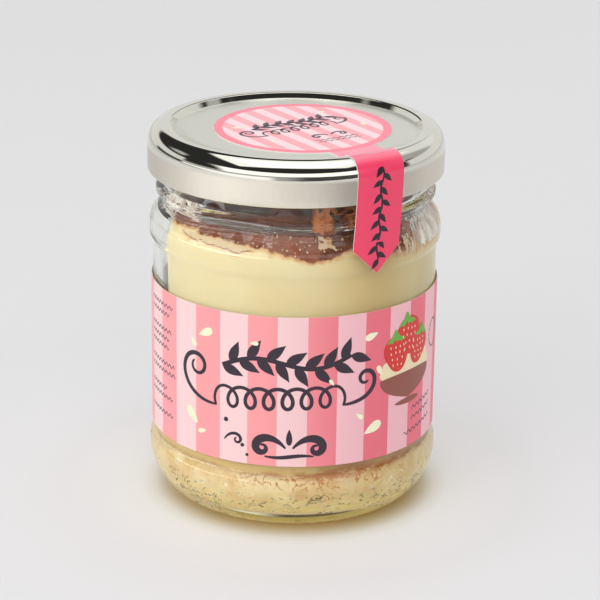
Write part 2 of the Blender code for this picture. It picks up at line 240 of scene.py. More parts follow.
class Web:
    """A node tree with short ways to add nodes and join them. A value is a socket or a constant."""

    def __init__(self, tree):
        self.tree = tree

    def add(self, kind, inputs=None, **settings):
        node = self.tree.nodes.new(kind)
        for key, value in settings.items():
            setattr(node, key, value)
        self.give(node, inputs or {})
        return node

    def give(self, node, inputs):
        for key, value in inputs.items():
            self.feed(node.inputs[key], value)

    def feed(self, socket, value):
        if isinstance(value, bpy.types.NodeSocket):
            self.tree.links.new(value, socket)
        elif socket.type == "RGBA" and len(value) == 3:
            socket.default_value = opaque(value)
        else:
            socket.default_value = value

    def maths(self, operation, *values):
        return self.add("ShaderNodeMath", dict(enumerate(values)), operation=operation).outputs[0]

    def plus(self, first, second):
        return self.maths("ADD", first, second)

    def minus(self, first, second):
        return self.maths("SUBTRACT", first, second)

    def ratio(self, first, second):
        return self.maths("DIVIDE", first, second)

    def larger(self, first, second):
        return self.maths("MAXIMUM", first, second)

    def size(self, value):
        return self.maths("ABSOLUTE", value)

    def line(self, value, slope, start):
        """The value times the slope, plus the start."""
        return self.maths("MULTIPLY_ADD", value, slope, start)

    def product(self, first, *rest):
        for factor in rest:
            first = self.maths("MULTIPLY", first, factor)
        return first

    def vector(self, operation, first, second):
        """Vector maths with a second vector, or for SCALE with a factor."""
        inputs = {0: first, 3 if operation == "SCALE" else 1: second}
        node = self.add("ShaderNodeVectorMath", inputs, operation=operation)
        return node.outputs["Value" if operation in ("DISTANCE", "DOT_PRODUCT") else 0]

    def parts(self, vector):
        return self.add("ShaderNodeSeparateXYZ", {"Vector": vector}).outputs

    def joined(self, x=0.0, y=0.0, z=0.0):
        return self.add("ShaderNodeCombineXYZ", {"X": x, "Y": y, "Z": z}).outputs[0]

    def noise(self, vector, scale, detail=3.0, rough=0.55, stretch=None):
        if stretch:
            vector = self.add("ShaderNodeMapping", {"Vector": vector, "Scale": stretch}).outputs[0]
        inputs = {"Vector": vector, "Scale": scale, "Detail": detail, "Roughness": rough}
        return self.add("ShaderNodeTexNoise", inputs).outputs["Fac"]

    def mix(self, share, first, second):
        """A colour between two colours."""
        return self.add("ShaderNodeMix", {0: share, 6: first, 7: second}, data_type="RGBA").outputs[2]

    def ramp(self, value, low, high):
        """0 at low and 1 at high, with a soft start and end. High may be less than low."""
        inputs = {"Value": value, "From Min": low, "From Max": high}
        return self.add("ShaderNodeMapRange", inputs, interpolation_type="SMOOTHSTEP").outputs[0]

    def bump(self, height, strength, distance):
        inputs = {"Height": height, "Strength": strength, "Distance": distance}
        return self.add("ShaderNodeBump", inputs).outputs[0]

    def place(self):
        return self.add("ShaderNodeTexCoord").outputs["Object"]

    def azimuth(self, place):
        """Degrees from the front towards the right, on a piece round the jar's axis."""
        parts = self.parts(place)
        turn = self.maths("ARCTAN2", parts["X"], self.product(parts["Y"], -1.0))
        return self.product(turn, 180 / math.pi)

    def attribute(self, name):
        return self.add("ShaderNodeAttribute", attribute_name=name).outputs["Fac"]


def opaque(value):
    return (*value, 1.0)


def painted(name):
    """A new material with one Principled shader: (material, web, shader)."""
    finish = bpy.data.materials.new(name)
    finish.use_nodes = True
    web = Web(finish.node_tree)
    shader = finish.node_tree.nodes["Principled BSDF"]
    return finish, web, shader


def mm(*values):
    """Values in millimetres as a tuple in metres."""
    return tuple(value * MM for value in values)


def linked(name, data, *finishes):
    """An object at the origin for a lamp, a camera or a mesh with its materials."""
    for finish in finishes:
        data.materials.append(finish)
    item = bpy.data.objects.new(name, data)
    bpy.context.scene.collection.objects.link(item)
    return item


def line_object(name, points):
    """A bare line through (x, y, z) points, for a node tree to work on."""
    mesh = bpy.data.meshes.new(name)
    mesh.from_pydata(points, [(i, i + 1) for i in range(len(points) - 1)], [])
    return linked(name, mesh)


def store(bm, mesh):
    """Writes a bmesh to a mesh, with its faces pointing outwards."""
    bmesh.ops.recalc_face_normals(bm, faces=bm.faces)
    if bm.calc_volume(signed=True) < 0:
        bmesh.ops.reverse_faces(bm, faces=bm.faces)
    bm.to_mesh(mesh)
    bm.free()


def shaped(name, bm, *finishes):
    """Turns a bmesh into a smooth object with sharp edges where it bends strongly."""
    mesh = bpy.data.meshes.new(name)
    store(bm, mesh)
    mesh.shade_smooth()
    mesh.set_sharp_from_angle(angle=math.radians(40))
    return linked(name, mesh, *finishes)


def placed(item, slot, *nodes):
    """Attaches a finished piece to its body and hides the CAD nodes it stands for. The slot is not used."""
    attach(item, BODY)
    if nodes:
        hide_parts(*nodes)
    return item


def baked(item):
    """Turns an object's live node modifier into a plain mesh."""
    depsgraph = bpy.context.evaluated_depsgraph_get()
    mesh = bpy.data.meshes.new_from_object(item.evaluated_get(depsgraph))
    item.modifiers.clear()
    old = item.data
    item.data = mesh
    bpy.data.meshes.remove(old)
    return item


def geometry_tree(name, sockets):
    """A new Geometry Nodes tree with more inputs, as {name: kind}: (tree, web, what it is given)."""
    tree = bpy.data.node_groups.new(name, "GeometryNodeTree")
    tree.interface.new_socket("Geometry", in_out="INPUT", socket_type="NodeSocketGeometry")
    for label, kind in sockets.items():
        tree.interface.new_socket(label, in_out="INPUT", socket_type="NodeSocket" + kind)
    tree.interface.new_socket("Geometry", in_out="OUTPUT", socket_type="NodeSocketGeometry")
    web = Web(tree)
    return tree, web, web.add("NodeGroupInput").outputs


def end_tree(web, shape, finish):
    """Realizes the instances, sets the material and ends the tree."""
    real = web.add("GeometryNodeRealizeInstances", {"Geometry": shape}).outputs[0]
    inputs = {"Geometry": real, "Material": finish}
    painted_shape = web.add("GeometryNodeSetMaterial", inputs).outputs[0]
    web.add("NodeGroupOutput", {0: painted_shape})


def with_tree(item, tree, **values):
    """Adds a node modifier and sets its inputs by their identifiers."""
    modifier = item.modifiers.new(tree.name, "NODES")
    modifier.node_group = tree
    sockets = [socket for socket in tree.interface.items_tree if socket.in_out == "INPUT"]
    names = {socket.name: socket.identifier for socket in sockets}
    for key, value in values.items():
        modifier[names[key]] = value
    return item


def turning_tree():
    """Spins an outline mesh, drawn with the radius along X and the height along -Y, round +Z."""
    tree, web, given = geometry_tree("turned outline", {"Sides": "Int", "Finish": "Material"})
    outline = web.add("GeometryNodeMeshToCurve", {"Mesh": given["Geometry"]}).outputs[0]
    inputs = {"Resolution": given["Sides"], "Radius": MM}
    circle = web.add("GeometryNodeCurvePrimitiveCircle", inputs).outputs[0]
    spun = web.add("GeometryNodeCurveToMesh", {"Curve": circle, "Profile Curve": outline}).outputs[0]
    inputs = {"Geometry": spun, "Distance": 0.0005 * MM}
    end_tree(web, web.add("GeometryNodeMergeByDistance", inputs).outputs[0], given["Finish"])
    return tree


def turned(name, outline, sides, finish, marks=None):
    """A closed solid spun from (radius, height) points; marks become the point attribute "mark"."""
    item = line_object(name, [(radius - MM, -height, 0.0) for radius, height in outline])
    if marks:
        item.data.attributes.new("mark", "FLOAT", "POINT").data.foreach_set("value", marks)
    tree = bpy.data.node_groups.get("turned outline") or turning_tree()
    baked(with_tree(item, tree, Sides=sides, Finish=finish))
    bm = bmesh.new()
    bm.from_mesh(item.data)
    store(bm, item.data)
    item.data.shade_smooth()
    return item


def between(start, end, across, along=None):
    """A point between two (radius, height) points, by its shares of the two distances."""
    along = across if along is None else along
    return (start[0] + (end[0] - start[0]) * across, start[1] + (end[1] - start[1]) * along)


def ogee(start, end, steps, lean=1.0):
    """An S-curve between two profile points, upright at both ends."""
    curve = []
    for i in range(1, steps + 1):
        rise = i / steps
        swing = (1 - math.cos(math.pi * rise**lean)) / 2
        curve.append(between(start, end, swing, rise))
    return curve


def corner(start, end, steps, level_first=True, power=2.0):
    """A quarter of a superellipse that leaves start level, or upright, and turns to end."""
    curve = []
    for i in range(1, steps + 1):
        turn = i / steps * math.pi / 2
        along = math.sin(turn) ** (2 / power)
        across = 1 - max(math.cos(turn), 0.0) ** (2 / power)
        shares = (along, across) if level_first else (across, along)
        curve.append(between(start, end, *shares))
    return curve


def ease(low, high, value):
    """0 below low, 1 above high, and a ramp with a soft start and end between."""
    share = min(max((value - low) / (high - low), 0.0), 1.0)
    return share * share * (3 - 2 * share)


def hump(value, middle, reach):
    """1 in the middle of a bell curve, falling away over the reach."""
    return math.exp(-(((value - middle) / reach) ** 2))


def heading(azimuth):
    """The level direction at an azimuth in degrees."""
    turn = math.radians(azimuth)
    return Vector((math.sin(turn), -math.cos(turn), 0.0))


def spot_at(azimuth, radius, height):
    """The point at an azimuth, a radius and a height."""
    return heading(azimuth) * radius + Vector((0, 0, height))


def azimuth_of(spot):
    return math.degrees(math.atan2(spot.x, -spot.y))


def from_behind(azimuth):
    """The same direction, from -180 to 180 degrees."""
    return (azimuth + 180) % 360 - 180


def level_at(outline, height):
    """The radius of a rising outline at a height."""
    for (low_radius, low), (high_radius, high) in zip(outline, outline[1:]):
        if low <= height <= high and high > low:
            return low_radius + (high_radius - low_radius) * (height - low) / (high - low)
    return outline[-1][0]


FLOOR_EDGE = mm(24.5, 5.2)
FLOOR_MIDDLE = 5.6 * MM
INNER_HEEL = 14.0 * MM
INNER_SHOULDER = 70.0 * MM
MOUTH_BOTTOM = 78.0 * MM
PUSH_UP = (mm(0.0, 2.4), mm(8, 2.35), mm(17, 2.1))
HEEL_LOW, HEEL_MIDDLE, HEEL_HIGH = mm(12.4, 13.0, 13.8)
PANEL_LOW, PANEL_HIGH = mm(17.0, 66.2)
SHOULDER_LOW, SHOULDER_MIDDLE, SHOULDER_HIGH = mm(68.6, 69.5, 70.4)
NECK_HEIGHT = 77.4 * MM
BEAD_LOW, BEAD_HIGH = mm(79.4, 79.8)
FINISH_LOW, FINISH_MIDDLE = mm(81.6, 86)


def glass_inside(glass):
    """The jar's inner wall, from the middle of its floor up to the mouth."""
    middle = (0.0, FLOOR_MIDDLE)
    wall = [middle]
    wall += [between(middle, FLOOR_EDGE, share, share**2) for share in (0.25, 0.5, 0.75, 1.0)]
    wall += corner(FLOOR_EDGE, (glass.inner_radius, INNER_HEEL), 20)
    wall += [(glass.inner_radius, height) for height in (*mm(20, 30, 40, 50, 60), INNER_SHOULDER)]
    wall += ogee((glass.inner_radius, INNER_SHOULDER), (glass.mouth_radius, MOUTH_BOTTOM), 16)
    return wall


def glass_outside(glass):
    """The jar's outer wall, from the middle of its base up to the top of the rim, fine at the neck."""
    foot = glass.foot_radius
    wall = [*PUSH_UP]
    wall += ogee(PUSH_UP[-1], (foot - 1.6 * MM, 0.12 * MM), 10, lean=0.8)
    for back, height in (mm(1.2, 0.03), mm(0.9, 0.0), mm(0.5, 0.0), mm(0.2, 0.03)):
        wall.append((foot - back, height))
    wall += corner(wall[-1], (glass.heel_radius, HEEL_LOW), 34, power=1.8)
    wall += [(glass.heel_radius, HEEL_MIDDLE), (glass.heel_radius, HEEL_HIGH)]
    wall += ogee(wall[-1], (glass.panel_radius, PANEL_LOW), 12)
    wall += [(glass.panel_radius, height) for height in (*mm(20, 30, 40, 50, 60), PANEL_HIGH)]
    wall += ogee(wall[-1], (glass.shoulder_radius, SHOULDER_LOW), 12)
    wall += [(glass.shoulder_radius, SHOULDER_MIDDLE), (glass.shoulder_radius, SHOULDER_HIGH)]
    wall += ogee(wall[-1], (glass.neck_radius, NECK_HEIGHT), 26, lean=1.4)
    wall += ogee(wall[-1], (glass.bead_radius, BEAD_LOW), 10)
    wall += ogee((glass.bead_radius, BEAD_HIGH), (glass.finish_radius, FINISH_LOW), 10)
    rim = (glass.finish_radius - glass.mouth_radius) / 2
    wall += [(glass.finish_radius, FINISH_MIDDLE), (glass.finish_radius, JAR_HIGH.z - rim)]
    wall += corner(wall[-1], (glass.finish_radius - rim, JAR_HIGH.z), 8, level_first=False)
    return finer(wall, 74.5 * MM, 84 * MM, 0.08 * MM)


def finer(outline, low, high, spacing):
    """The outline with extra points between two heights, none further apart than the spacing."""
    points = [outline[0]]
    for start, end in zip(outline, outline[1:]):
        steps = 1
        if low < start[1] and end[1] < high:
            steps = max(1, math.ceil(math.dist(start, end) / spacing))
        points += [between(start, end, i / steps) for i in range(1, steps + 1)]
    return points


def clear_glass(glass):
    """Clear flint glass, frosted where it stands. Lamps shine through it, and every other ray bends."""
    finish, web, shader = painted("jar_glass")
    waves = web.noise(web.place(), 90.0, 2.0, 0.4, stretch=(1.0, 1.0, 0.35))
    height = web.parts(web.place())["Z"]
    frost = web.product(web.ramp(height, 1.3 * MM, 0.9 * MM), 0.35)
    web.give(shader, {
        "Base Color": glass.tint,
        "Transmission Weight": 1.0,
        "IOR": 1.5,
        "Roughness": web.line(web.ramp(waves, 0.5, 0.9), 0.012, frost),
        "Normal": web.bump(waves, 0.12, 0.25 * MM),
    })
    lit = web.add("ShaderNodeBsdfTransparent", {"Color": (0.93, 0.93, 0.93)})
    shadow = web.add("ShaderNodeLightPath").outputs["Is Shadow Ray"]
    both = web.add("ShaderNodeMixShader", {0: shadow, 1: shader.outputs[0], 2: lit.outputs[0]})
    output = finish.node_tree.nodes["Material Output"]
    web.feed(output.inputs["Surface"], both.outputs[0])
    body = web.add("ShaderNodeVolumeAbsorption", {"Color": glass.depth_tint, "Density": 14.0})
    web.feed(output.inputs["Volume"], body.outputs[0])
    return finish


def make_jar(glass):
    """The glass jar with a barred bearing ring."""
    inside = glass_inside(glass)
    outline = glass_outside(glass)
    rim = (glass.finish_radius - glass.mouth_radius) / 2
    outline += corner(outline[-1], (glass.mouth_radius, JAR_HIGH.z - rim), 8)
    outline += reversed(inside)
    jar = turned("glass_jar", outline, glass.sides, clear_glass(glass))
    low, high = glass.foot_radius - 1.6 * MM, glass.foot_radius + 3.6 * MM
    for vert in jar.data.vertices:
        radius = math.hypot(vert.co.x, vert.co.y)
        turn = math.atan2(vert.co.y, vert.co.x)
        if low < radius < high and vert.co.z < 1.5 * MM:
            bar = ease(-0.2, 0.4, math.sin(turn * glass.foot_bars))
            across = ease(low, low + MM, radius) * (1 - ease(high - MM, high, radius))
            vert.co.z += glass.foot_depth * across * (1 - bar)
        if radius > glass.finish_radius - 0.1 * MM and 75 * MM < vert.co.z < 84 * MM:
            fade = ease(75 * MM, 76 * MM, vert.co.z) * (1 - ease(83 * MM, 84 * MM, vert.co.z))
            drift = noise.noise(Vector((vert.co.x, vert.co.y, vert.co.z * 0.3)) / (14 * MM)) * 7
            swing = math.sin(vert.co.z / (0.15 * MM) + drift) * (0.6 + 0.4 * math.sin(3 * turn + 1))
            vert.co.xy *= 1 + glass.ripple * fade * swing / radius
    return placed(jar, "jar_glass", "jar")


def lid_wall(lid, inset, steps):
    """One face of the lid's sheet, from the side to the middle of the top."""
    side = lid.radius - inset
    crest = (lid.crest_radius, lid.top - inset)
    brow = (lid.recess_radius + 0.58 * MM + inset, lid.top - 0.15 * MM - inset)
    foot = (lid.recess_radius + inset * 0.7, lid.recess_height - 0.18 * MM - inset)
    step = (lid.recess_radius - 2.6 * MM, lid.recess_height - inset)
    wall = [(side, lid.bend)]
    wall += corner((side, lid.bend), crest, steps, level_first=False, power=2.1)
    wall += [between(crest, brow, i / 8, (i / 8) ** 9) for i in range(1, 9)]
    wall += [between(brow, foot, share) for share in (0.05, 0.5, 1.0)]
    wall += [(lid.recess_radius - back, foot[1] - 0.01 * MM) for back in mm(0.15, 1.3)] + [step]
    wall += [(step[0] * share, step[1]) for share in (0.98, 0.9, 0.75, 0.5, 0.25, 0.0)]
    return wall


def front_half(web, azimuth):
    """1 at the front and the sides, 0 straight behind, so that no tone ends in a line there."""
    return web.ramp(web.size(azimuth), 172.0, 115.0)


def tinplate(lid):
    """Satin tinplate: a fine upright brushing on the side and a smooth crest and panel, with painted
    reflections: lighter and darker bands round the side.
    """
    finish, web, shader = painted("lid_tinplate")
    place = web.place()
    height = web.parts(place)["Z"]
    azimuth = web.azimuth(place)
    side = web.minus(1.0, web.ramp(height, lid.bend - 0.6 * MM, lid.bend + 0.4 * MM))
    unrolled = web.joined(web.product(azimuth, 0.65 * MM), 0.0, web.product(height, 0.03))
    brushed = web.noise(unrolled, 5200.0, 2.0, 0.6)
    flat = web.noise(place, 2600.0, 2.0, 0.6, stretch=(0.05, 1.0, 1.0))
    grain = web.mix(side, flat, brushed)
    cloud = web.noise(place, 60.0, 3.0)
    shade = web.mix(web.ramp(cloud, 0.3, 0.7), lid.steel, tuple(c * 0.95 for c in lid.steel))
    # Painted reflection: bands round the side are painted lighter and darker, as the room's reflections would
    # make them.
    bright = web.ramp(web.size(web.plus(azimuth, 20.0)), 58.0, 12.0)
    painted_dark_band = web.ramp(web.size(web.minus(azimuth, 26.0)), 20.0, 4.0)
    painted_highlight = web.ramp(web.size(web.plus(azimuth, 33.0)), 18.0, 2.0)
    level = web.line(bright, 0.36, web.line(painted_highlight, 0.14, 0.78))
    painted_sheen_far_right = web.product(web.ramp(azimuth, 45.0, 60.0), front_half(web, azimuth))
    level = web.line(painted_sheen_far_right, 0.12, level)
    level = web.line(painted_dark_band, -0.26, level)
    level = web.product(level, web.line(brushed, 0.24, 0.88))
    # The side's colour: the tinplate scaled by the painted reflection bands and by the brushing.
    upright = web.vector("SCALE", lid.side, level)
    radius = web.vector("DISTANCE", web.vector("MULTIPLY", place, (1.0, 1.0, 0.0)), (0.0, 0.0, 0.0))
    panel = web.ramp(radius, lid.recess_radius + 0.1 * MM, lid.recess_radius - 0.2 * MM)
    shade = web.mix(panel, shade, lid.satin)
    rough = web.plus(web.product(side, 0.22), web.product(grain, 0.02))
    rough = web.plus(rough, web.product(panel, 0.24))
    strength = web.plus(web.product(side, 0.38), 0.02)
    web.give(shader, {
        "Base Color": web.mix(side, shade, upright),
        "Roughness": web.plus(rough, 0.03),
        "Normal": web.bump(grain, strength, 0.06 * MM),
        "Metallic": web.line(panel, -0.6, 1.0),
    })
    return finish


def gold_lacquer(lid):
    """The clear gold lacquer that protects the inside of the lid."""
    finish, web, shader = painted("lid_lacquer")
    cloud = web.noise(web.place(), 220.0, 3.0)
    web.give(shader, {
        "Base Color": web.mix(cloud, lid.lacquer, tuple(c * 0.6 for c in lid.lacquer)),
        "Roughness": web.plus(0.22, web.product(cloud, 0.1)),
        "Metallic": 0.85,
    })
    return finish


def make_lid(lid):
    """The lid: one sheet with a curled lower edge, bright outside and lacquered inside."""
    curl = 0.85 * MM
    middle = (lid.radius - curl, lid.bottom + curl)
    inner = list(reversed(lid_wall(lid, lid.sheet, 12)))
    inner += [(lid.radius - lid.sheet, lid.bottom + 2.6 * curl)]
    inner += [(middle[0] - 0.5 * curl, middle[1] + 0.9 * curl)]
    outer = []
    for i in range(17):
        turn = math.radians(150 + 210 * i / 16)
        outer.append((middle[0] + curl * math.cos(turn), middle[1] + curl * math.sin(turn)))
    outer += [(lid.radius, lid.bottom + (lid.bend - lid.bottom) * share) for share in (0.3, 0.5, 0.7, 0.9)]
    lacquered = len(inner) + 5
    outer += lid_wall(lid, 0.0, 24)
    marks = [1.0] * lacquered + [0.0] * (len(inner) + len(outer) - lacquered)
    item = turned("twist_off_lid", inner + outer, lid.sides, tinplate(lid), marks)
    item.data.materials.append(gold_lacquer(lid))
    inside = [value.value for value in item.data.attributes["mark"].data]
    for face in item.data.polygons:
        if min(inside[i] for i in face.vertices) > 0.5:
            face.material_index = 1
    item.data.attributes.remove(item.data.attributes["mark"])
    item.data.set_sharp_from_angle(angle=math.radians(38))
    return placed(item, "lid_steel", "lid")


class JarcakeJar(bpy.types.Operator):
    """Builds the glass jar"""

    bl_idname = "jarcake.jar"
    bl_label = "Glass jar"

    def execute(self, context):
        make_jar(context.scene.cheesecake_jar.glass)
        return {"FINISHED"}


class JarcakeLid(bpy.types.Operator):
    """Builds the twist-off lid"""

    bl_idname = "jarcake.lid"
    bl_label = "Twist-off lid"

    def execute(self, context):
        make_lid(context.scene.cheesecake_jar.lid)
        return {"FINISHED"}


def on_label(label, lift=0.0):
    """Maps label coordinates, right of the front and up from the floor, to the paper's face."""

    def place(right, up, out=0.0):
        return spot_at(math.degrees(right / label.radius), label.radius + lift + out, up)

    return place


def striped_paper(label):
    """Coated paper with upright stripes in two pinks, with painted shade that darkens them towards the right.
    """
    finish, web, shader = painted("label_paper")
    place = web.place()
    azimuth = web.azimuth(place)
    share = web.maths("FRACT", web.ratio(web.minus(azimuth, label.stripe_start - 720), label.stripe_pair))
    dark = web.maths("LESS_THAN", share, 0.5)
    fibre = web.noise(place, 900.0, 4.0, 0.6, stretch=(1.0, 1.0, 0.6))
    # Painted shade: towards the right of the front the stripes take their darker, shaded colours.
    right = web.product(web.ramp(azimuth, -18.0, 34.0), front_half(web, azimuth))
    stripe = web.mix(right, label.dark, label.dark_painted_shade)
    ground = web.mix(right, label.pale, label.pale_painted_shade)
    web.give(shader, {
        "Base Color": web.mix(dark, ground, stripe),
        "Roughness": web.plus(0.34, web.product(fibre, 0.12)),
        "Normal": web.bump(web.noise(place, 130.0, 2.0), 0.05, 0.4 * MM),
        "Specular IOR Level": 0.45,
    })
    return finish


def cut_paper():
    """The white cut edge and back of paper and film."""
    finish, web, shader = painted("cut_paper")
    fibre = web.noise(web.place(), 1500.0, 3.0)
    web.give(shader, {
        "Base Color": web.mix(fibre, screen(250, 248, 244), screen(232, 228, 222)),
        "Roughness": web.plus(0.6, web.product(fibre, 0.2)),
    })
    return finish


def add_strip(bm, rows, cut=()):
    """Joins loops of corners into a closed strip; the sides in cut, and then its ends, are cut paper."""
    count = len(rows[0])
    for row, following in zip(rows, rows[1:]):
        for i in range(count):
            j = (i + 1) % count
            bm.faces.new((row[i], row[j], following[j], following[i])).material_index = int(i in cut)
    for end in (rows[0], rows[-1]):
        bm.faces.new(end).material_index = int(bool(cut))


def make_label(label):
    """The paper sleeve, with its two ends at the back."""
    bm = bmesh.new()
    low, high = LABEL_LOW.z, LABEL_HIGH.z
    inner = label.radius - label.paper
    bevel = label.paper / 3
    section = [(inner, low), (label.radius - bevel, low), (label.radius, low + bevel)]
    section += [(label.radius, low + (high - low) * share) for share in (0.25, 0.5, 0.75)]
    section += [(label.radius, high - bevel), (label.radius - bevel, high), (inner, high)]
    rows = []
    for i in range(label.sides + 1):
        azimuth = 180 + label.opening / 2 + (360 - label.opening) * i / label.sides
        rows.append([bm.verts.new(spot_at(azimuth, radius, height)) for radius, height in section])
    add_strip(bm, rows, cut=(0, 7, 8))
    item = shaped("striped_label", bm, striped_paper(label), cut_paper())
    return placed(item, "label_paper", "jar_label")


def printed_ink(name, colour, deeper=0.92):
    """A printed ink with faint mottling."""
    finish, web, shader = painted(name)
    mottle = web.noise(web.place(), 1400.0, 3.0)
    web.give(shader, {
        "Base Color": web.mix(mottle, colour, tuple(c * deeper for c in colour)),
        "Roughness": web.plus(0.32, web.product(mottle, 0.15)),
    })
    return finish


PRINT = 0.03 * MM
HAIRLINE = mm(0.16, 0.3)


def garland_tree():
    """A flat sprig in the XY plane: a stem along the given line, with leaves to its two sides in turn."""
    sizes = ("Spacing", "Leaf Length", "Leaf Width", "Tilt", "Stem", "Thickness")
    tree, web, given = geometry_tree("garland", dict.fromkeys(sizes, "Float") | {"Finish": "Material"})
    long, wide, thick = (given[key] for key in ("Leaf Length", "Leaf Width", "Thickness"))
    line = web.add("GeometryNodeMeshToCurve", {"Mesh": given["Geometry"]}).outputs[0]
    line = web.add("GeometryNodeSetCurveNormal", {"Curve": line}, mode="Z_UP").outputs[0]
    inputs = {"Curve": line, "Length": given["Spacing"]}
    spots = web.add("GeometryNodeResampleCurve", inputs, mode="LENGTH").outputs[0]

    size = web.joined(wide, long, thick)
    steps = {"Size": size, "Vertices X": 5, "Vertices Y": 10, "Vertices Z": 2}
    block = web.add("GeometryNodeMeshCube", steps).outputs["Mesh"]
    parts = web.parts(web.add("GeometryNodeInputPosition").outputs[0])
    along = web.larger(web.plus(web.ratio(parts["Y"], long), 0.5), 0.0)
    belly = web.maths("SINE", web.product(web.maths("POWER", along, 0.75), math.pi))
    narrow = web.product(parts["X"], web.larger(belly, 0.05))
    spot = web.joined(narrow, web.plus(parts["Y"], web.product(long, 0.5)), parts["Z"])
    leaf = web.add("GeometryNodeSetPosition", {"Geometry": block, "Position": spot}).outputs[0]

    index = web.add("GeometryNodeInputIndex").outputs[0]
    side = web.minus(web.product(web.maths("MODULO", index, 2.0), 2.0), 1.0)
    lean = web.joined(z=web.product(side, given["Tilt"]))
    way = web.add("GeometryNodeInputTangent").outputs[0]
    turn = web.add("FunctionNodeAlignRotationToVector", {"Vector": way}, axis="Y", pivot_axis="Z").outputs[0]
    extra = web.add("FunctionNodeEulerToRotation", {"Euler": lean}).outputs[0]
    inputs = {"Rotation": turn, "Rotate By": extra}
    turn = web.add("FunctionNodeRotateRotation", inputs, rotation_space="LOCAL").outputs[0]
    inputs = {"Points": spots, "Instance": leaf, "Rotation": turn}
    leaves = web.add("GeometryNodeInstanceOnPoints", inputs).outputs[0]

    section = {"Width": given["Stem"], "Height": thick}
    bar = web.add("GeometryNodeCurvePrimitiveQuadrilateral", section).outputs[0]
    fine = web.add("GeometryNodeResampleCurve", {"Curve": line, "Length": 0.5 * MM}, mode="LENGTH").outputs[0]
    inputs = {"Curve": fine, "Profile Curve": bar, "Fill Caps": True}
    stem = web.add("GeometryNodeCurveToMesh", inputs).outputs[0]
    joined = web.add("GeometryNodeJoinGeometry")
    for part in (leaves, stem):
        web.feed(joined.inputs[0], part)
    end_tree(web, joined.outputs[0], given["Finish"])
    return tree


def garland(name, line, place, finish, spacing, long, wide, tilt=38.0, stem=0.5 * MM):
    """A printed sprig along a line of flat (right, up) points, wrapped on a surface."""
    item = line_object(name, [(point.x, point.y, 0.0) for point in line])
    tree = bpy.data.node_groups.get("garland") or garland_tree()
    sizes = {"Spacing": spacing, "Leaf Length": long, "Leaf Width": wide}
    sizes |= {"Tilt": math.radians(tilt), "Stem": stem, "Thickness": 2 * PRINT}
    baked(with_tree(item, tree, Finish=finish, **sizes))
    for vert in item.data.vertices:
        vert.co = place(*vert.co)
    bm = bmesh.new()
    bm.from_mesh(item.data)
    bmesh.ops.remove_doubles(bm, verts=bm.verts, dist=0.0002 * MM)
    store(bm, item.data)
    return item


def scroll(start, way, run, bend, curl, steps=46):
    """A line of (right, up) points whose bend grows evenly, as in pen scrollwork. Bends are in turns."""
    points = [Vector(start)]
    for i in range(steps):
        share = (i + 0.5) / steps
        turn = math.radians(way) + math.tau * (bend * share + curl * share**3)
        points.append(points[-1] + Vector((math.cos(turn), math.sin(turn))) * run / steps)
    return points


def loops(start, end, high, swing, turns, steps=240):
    """A running line from start to end with loops, as in a pen exercise."""
    start, end = Vector(start), Vector(end)
    points = []
    for i in range(steps + 1):
        share = i / steps
        turn = math.tau * turns * share
        fade = ease(0.0, 0.5 / turns, share) * (1 - ease(1 - 0.5 / turns, 1.0, share))
        step = Vector((-swing * math.sin(turn), high * (1 - math.cos(turn)))) * (0.35 + 0.65 * fade)
        points.append(start.lerp(end, share) + step)
    return points


def mirrored(line, middle):
    """The same line on the other side of an upright middle."""
    return [Vector((2 * middle - point.x, point.y)) for point in line]


def swelling(thin, thick, power=0.8):
    """A pen width that swells between thin ends."""
    return lambda share: thin + (thick - thin) * max(math.sin(math.pi * share), 0.0) ** power


def add_stroke(bm, line, width, place):
    """Lays one pen stroke of varying width on a surface, as a thin closed strip."""
    rows = []
    last = len(line) - 1
    for i, point in enumerate(line):
        way = (line[min(i + 1, last)] - line[max(i - 1, 0)]).normalized()
        side = Vector((-way.y, way.x)) * width(i / last) / 2
        left, right = point + side, point - side
        corners = ((left, -PRINT), (right, -PRINT), (right, PRINT), (left, PRINT))
        rows.append([bm.verts.new(place(spot.x, spot.y, out)) for spot, out in corners])
    add_strip(bm, rows)


def add_patch(bm, middle, reach, place, turns=0.0, steps=36, rings=4, out=PRINT):
    """Lays a filled shape on a surface. Reach gives its (right, up) outline at each turn of its middle."""
    levels = []
    for height in (-PRINT, out):
        rows = [[bm.verts.new(place(middle[0], middle[1], height))]]
        for ring in range(1, rings + 1):
            row = []
            for i in range(steps):
                spot = Vector(reach(i / steps * math.tau)) * ring / rings
                spot.rotate(Matrix.Rotation(turns * math.tau, 2))
                row.append(bm.verts.new(place(middle[0] + spot.x, middle[1] + spot.y, height)))
            rows.append(row)
        levels.append(rows)
        for inner, outer in zip(rows, rows[1:]):
            for i in range(steps):
                j = (i + 1) % steps
                if len(inner) == 1:
                    bm.faces.new((inner[0], outer[i], outer[j]))
                else:
                    bm.faces.new((inner[i], outer[i], outer[j], inner[j]))
    for i in range(steps):
        j = (i + 1) % steps
        bm.faces.new((levels[0][-1][i], levels[0][-1][j], levels[1][-1][j], levels[1][-1][i]))


def petal(long, wide, sharp=1.0):
    """The outline of a petal that points up."""

    def reach(turn):
        narrow = (1 - math.cos(turn)) / 2
        return (wide / 2 * math.sin(turn) * narrow**sharp, long / 2 * math.cos(turn))

    return reach


def berry(size):
    """The outline of a plump berry that points down."""

    def reach(turn):
        shoulder = 1 + 0.16 * math.cos(turn) - 0.05 * math.cos(3 * turn)
        return (size / 2 * math.sin(turn) * shoulder, size * 0.58 * math.cos(turn) - size * 0.04)

    return reach


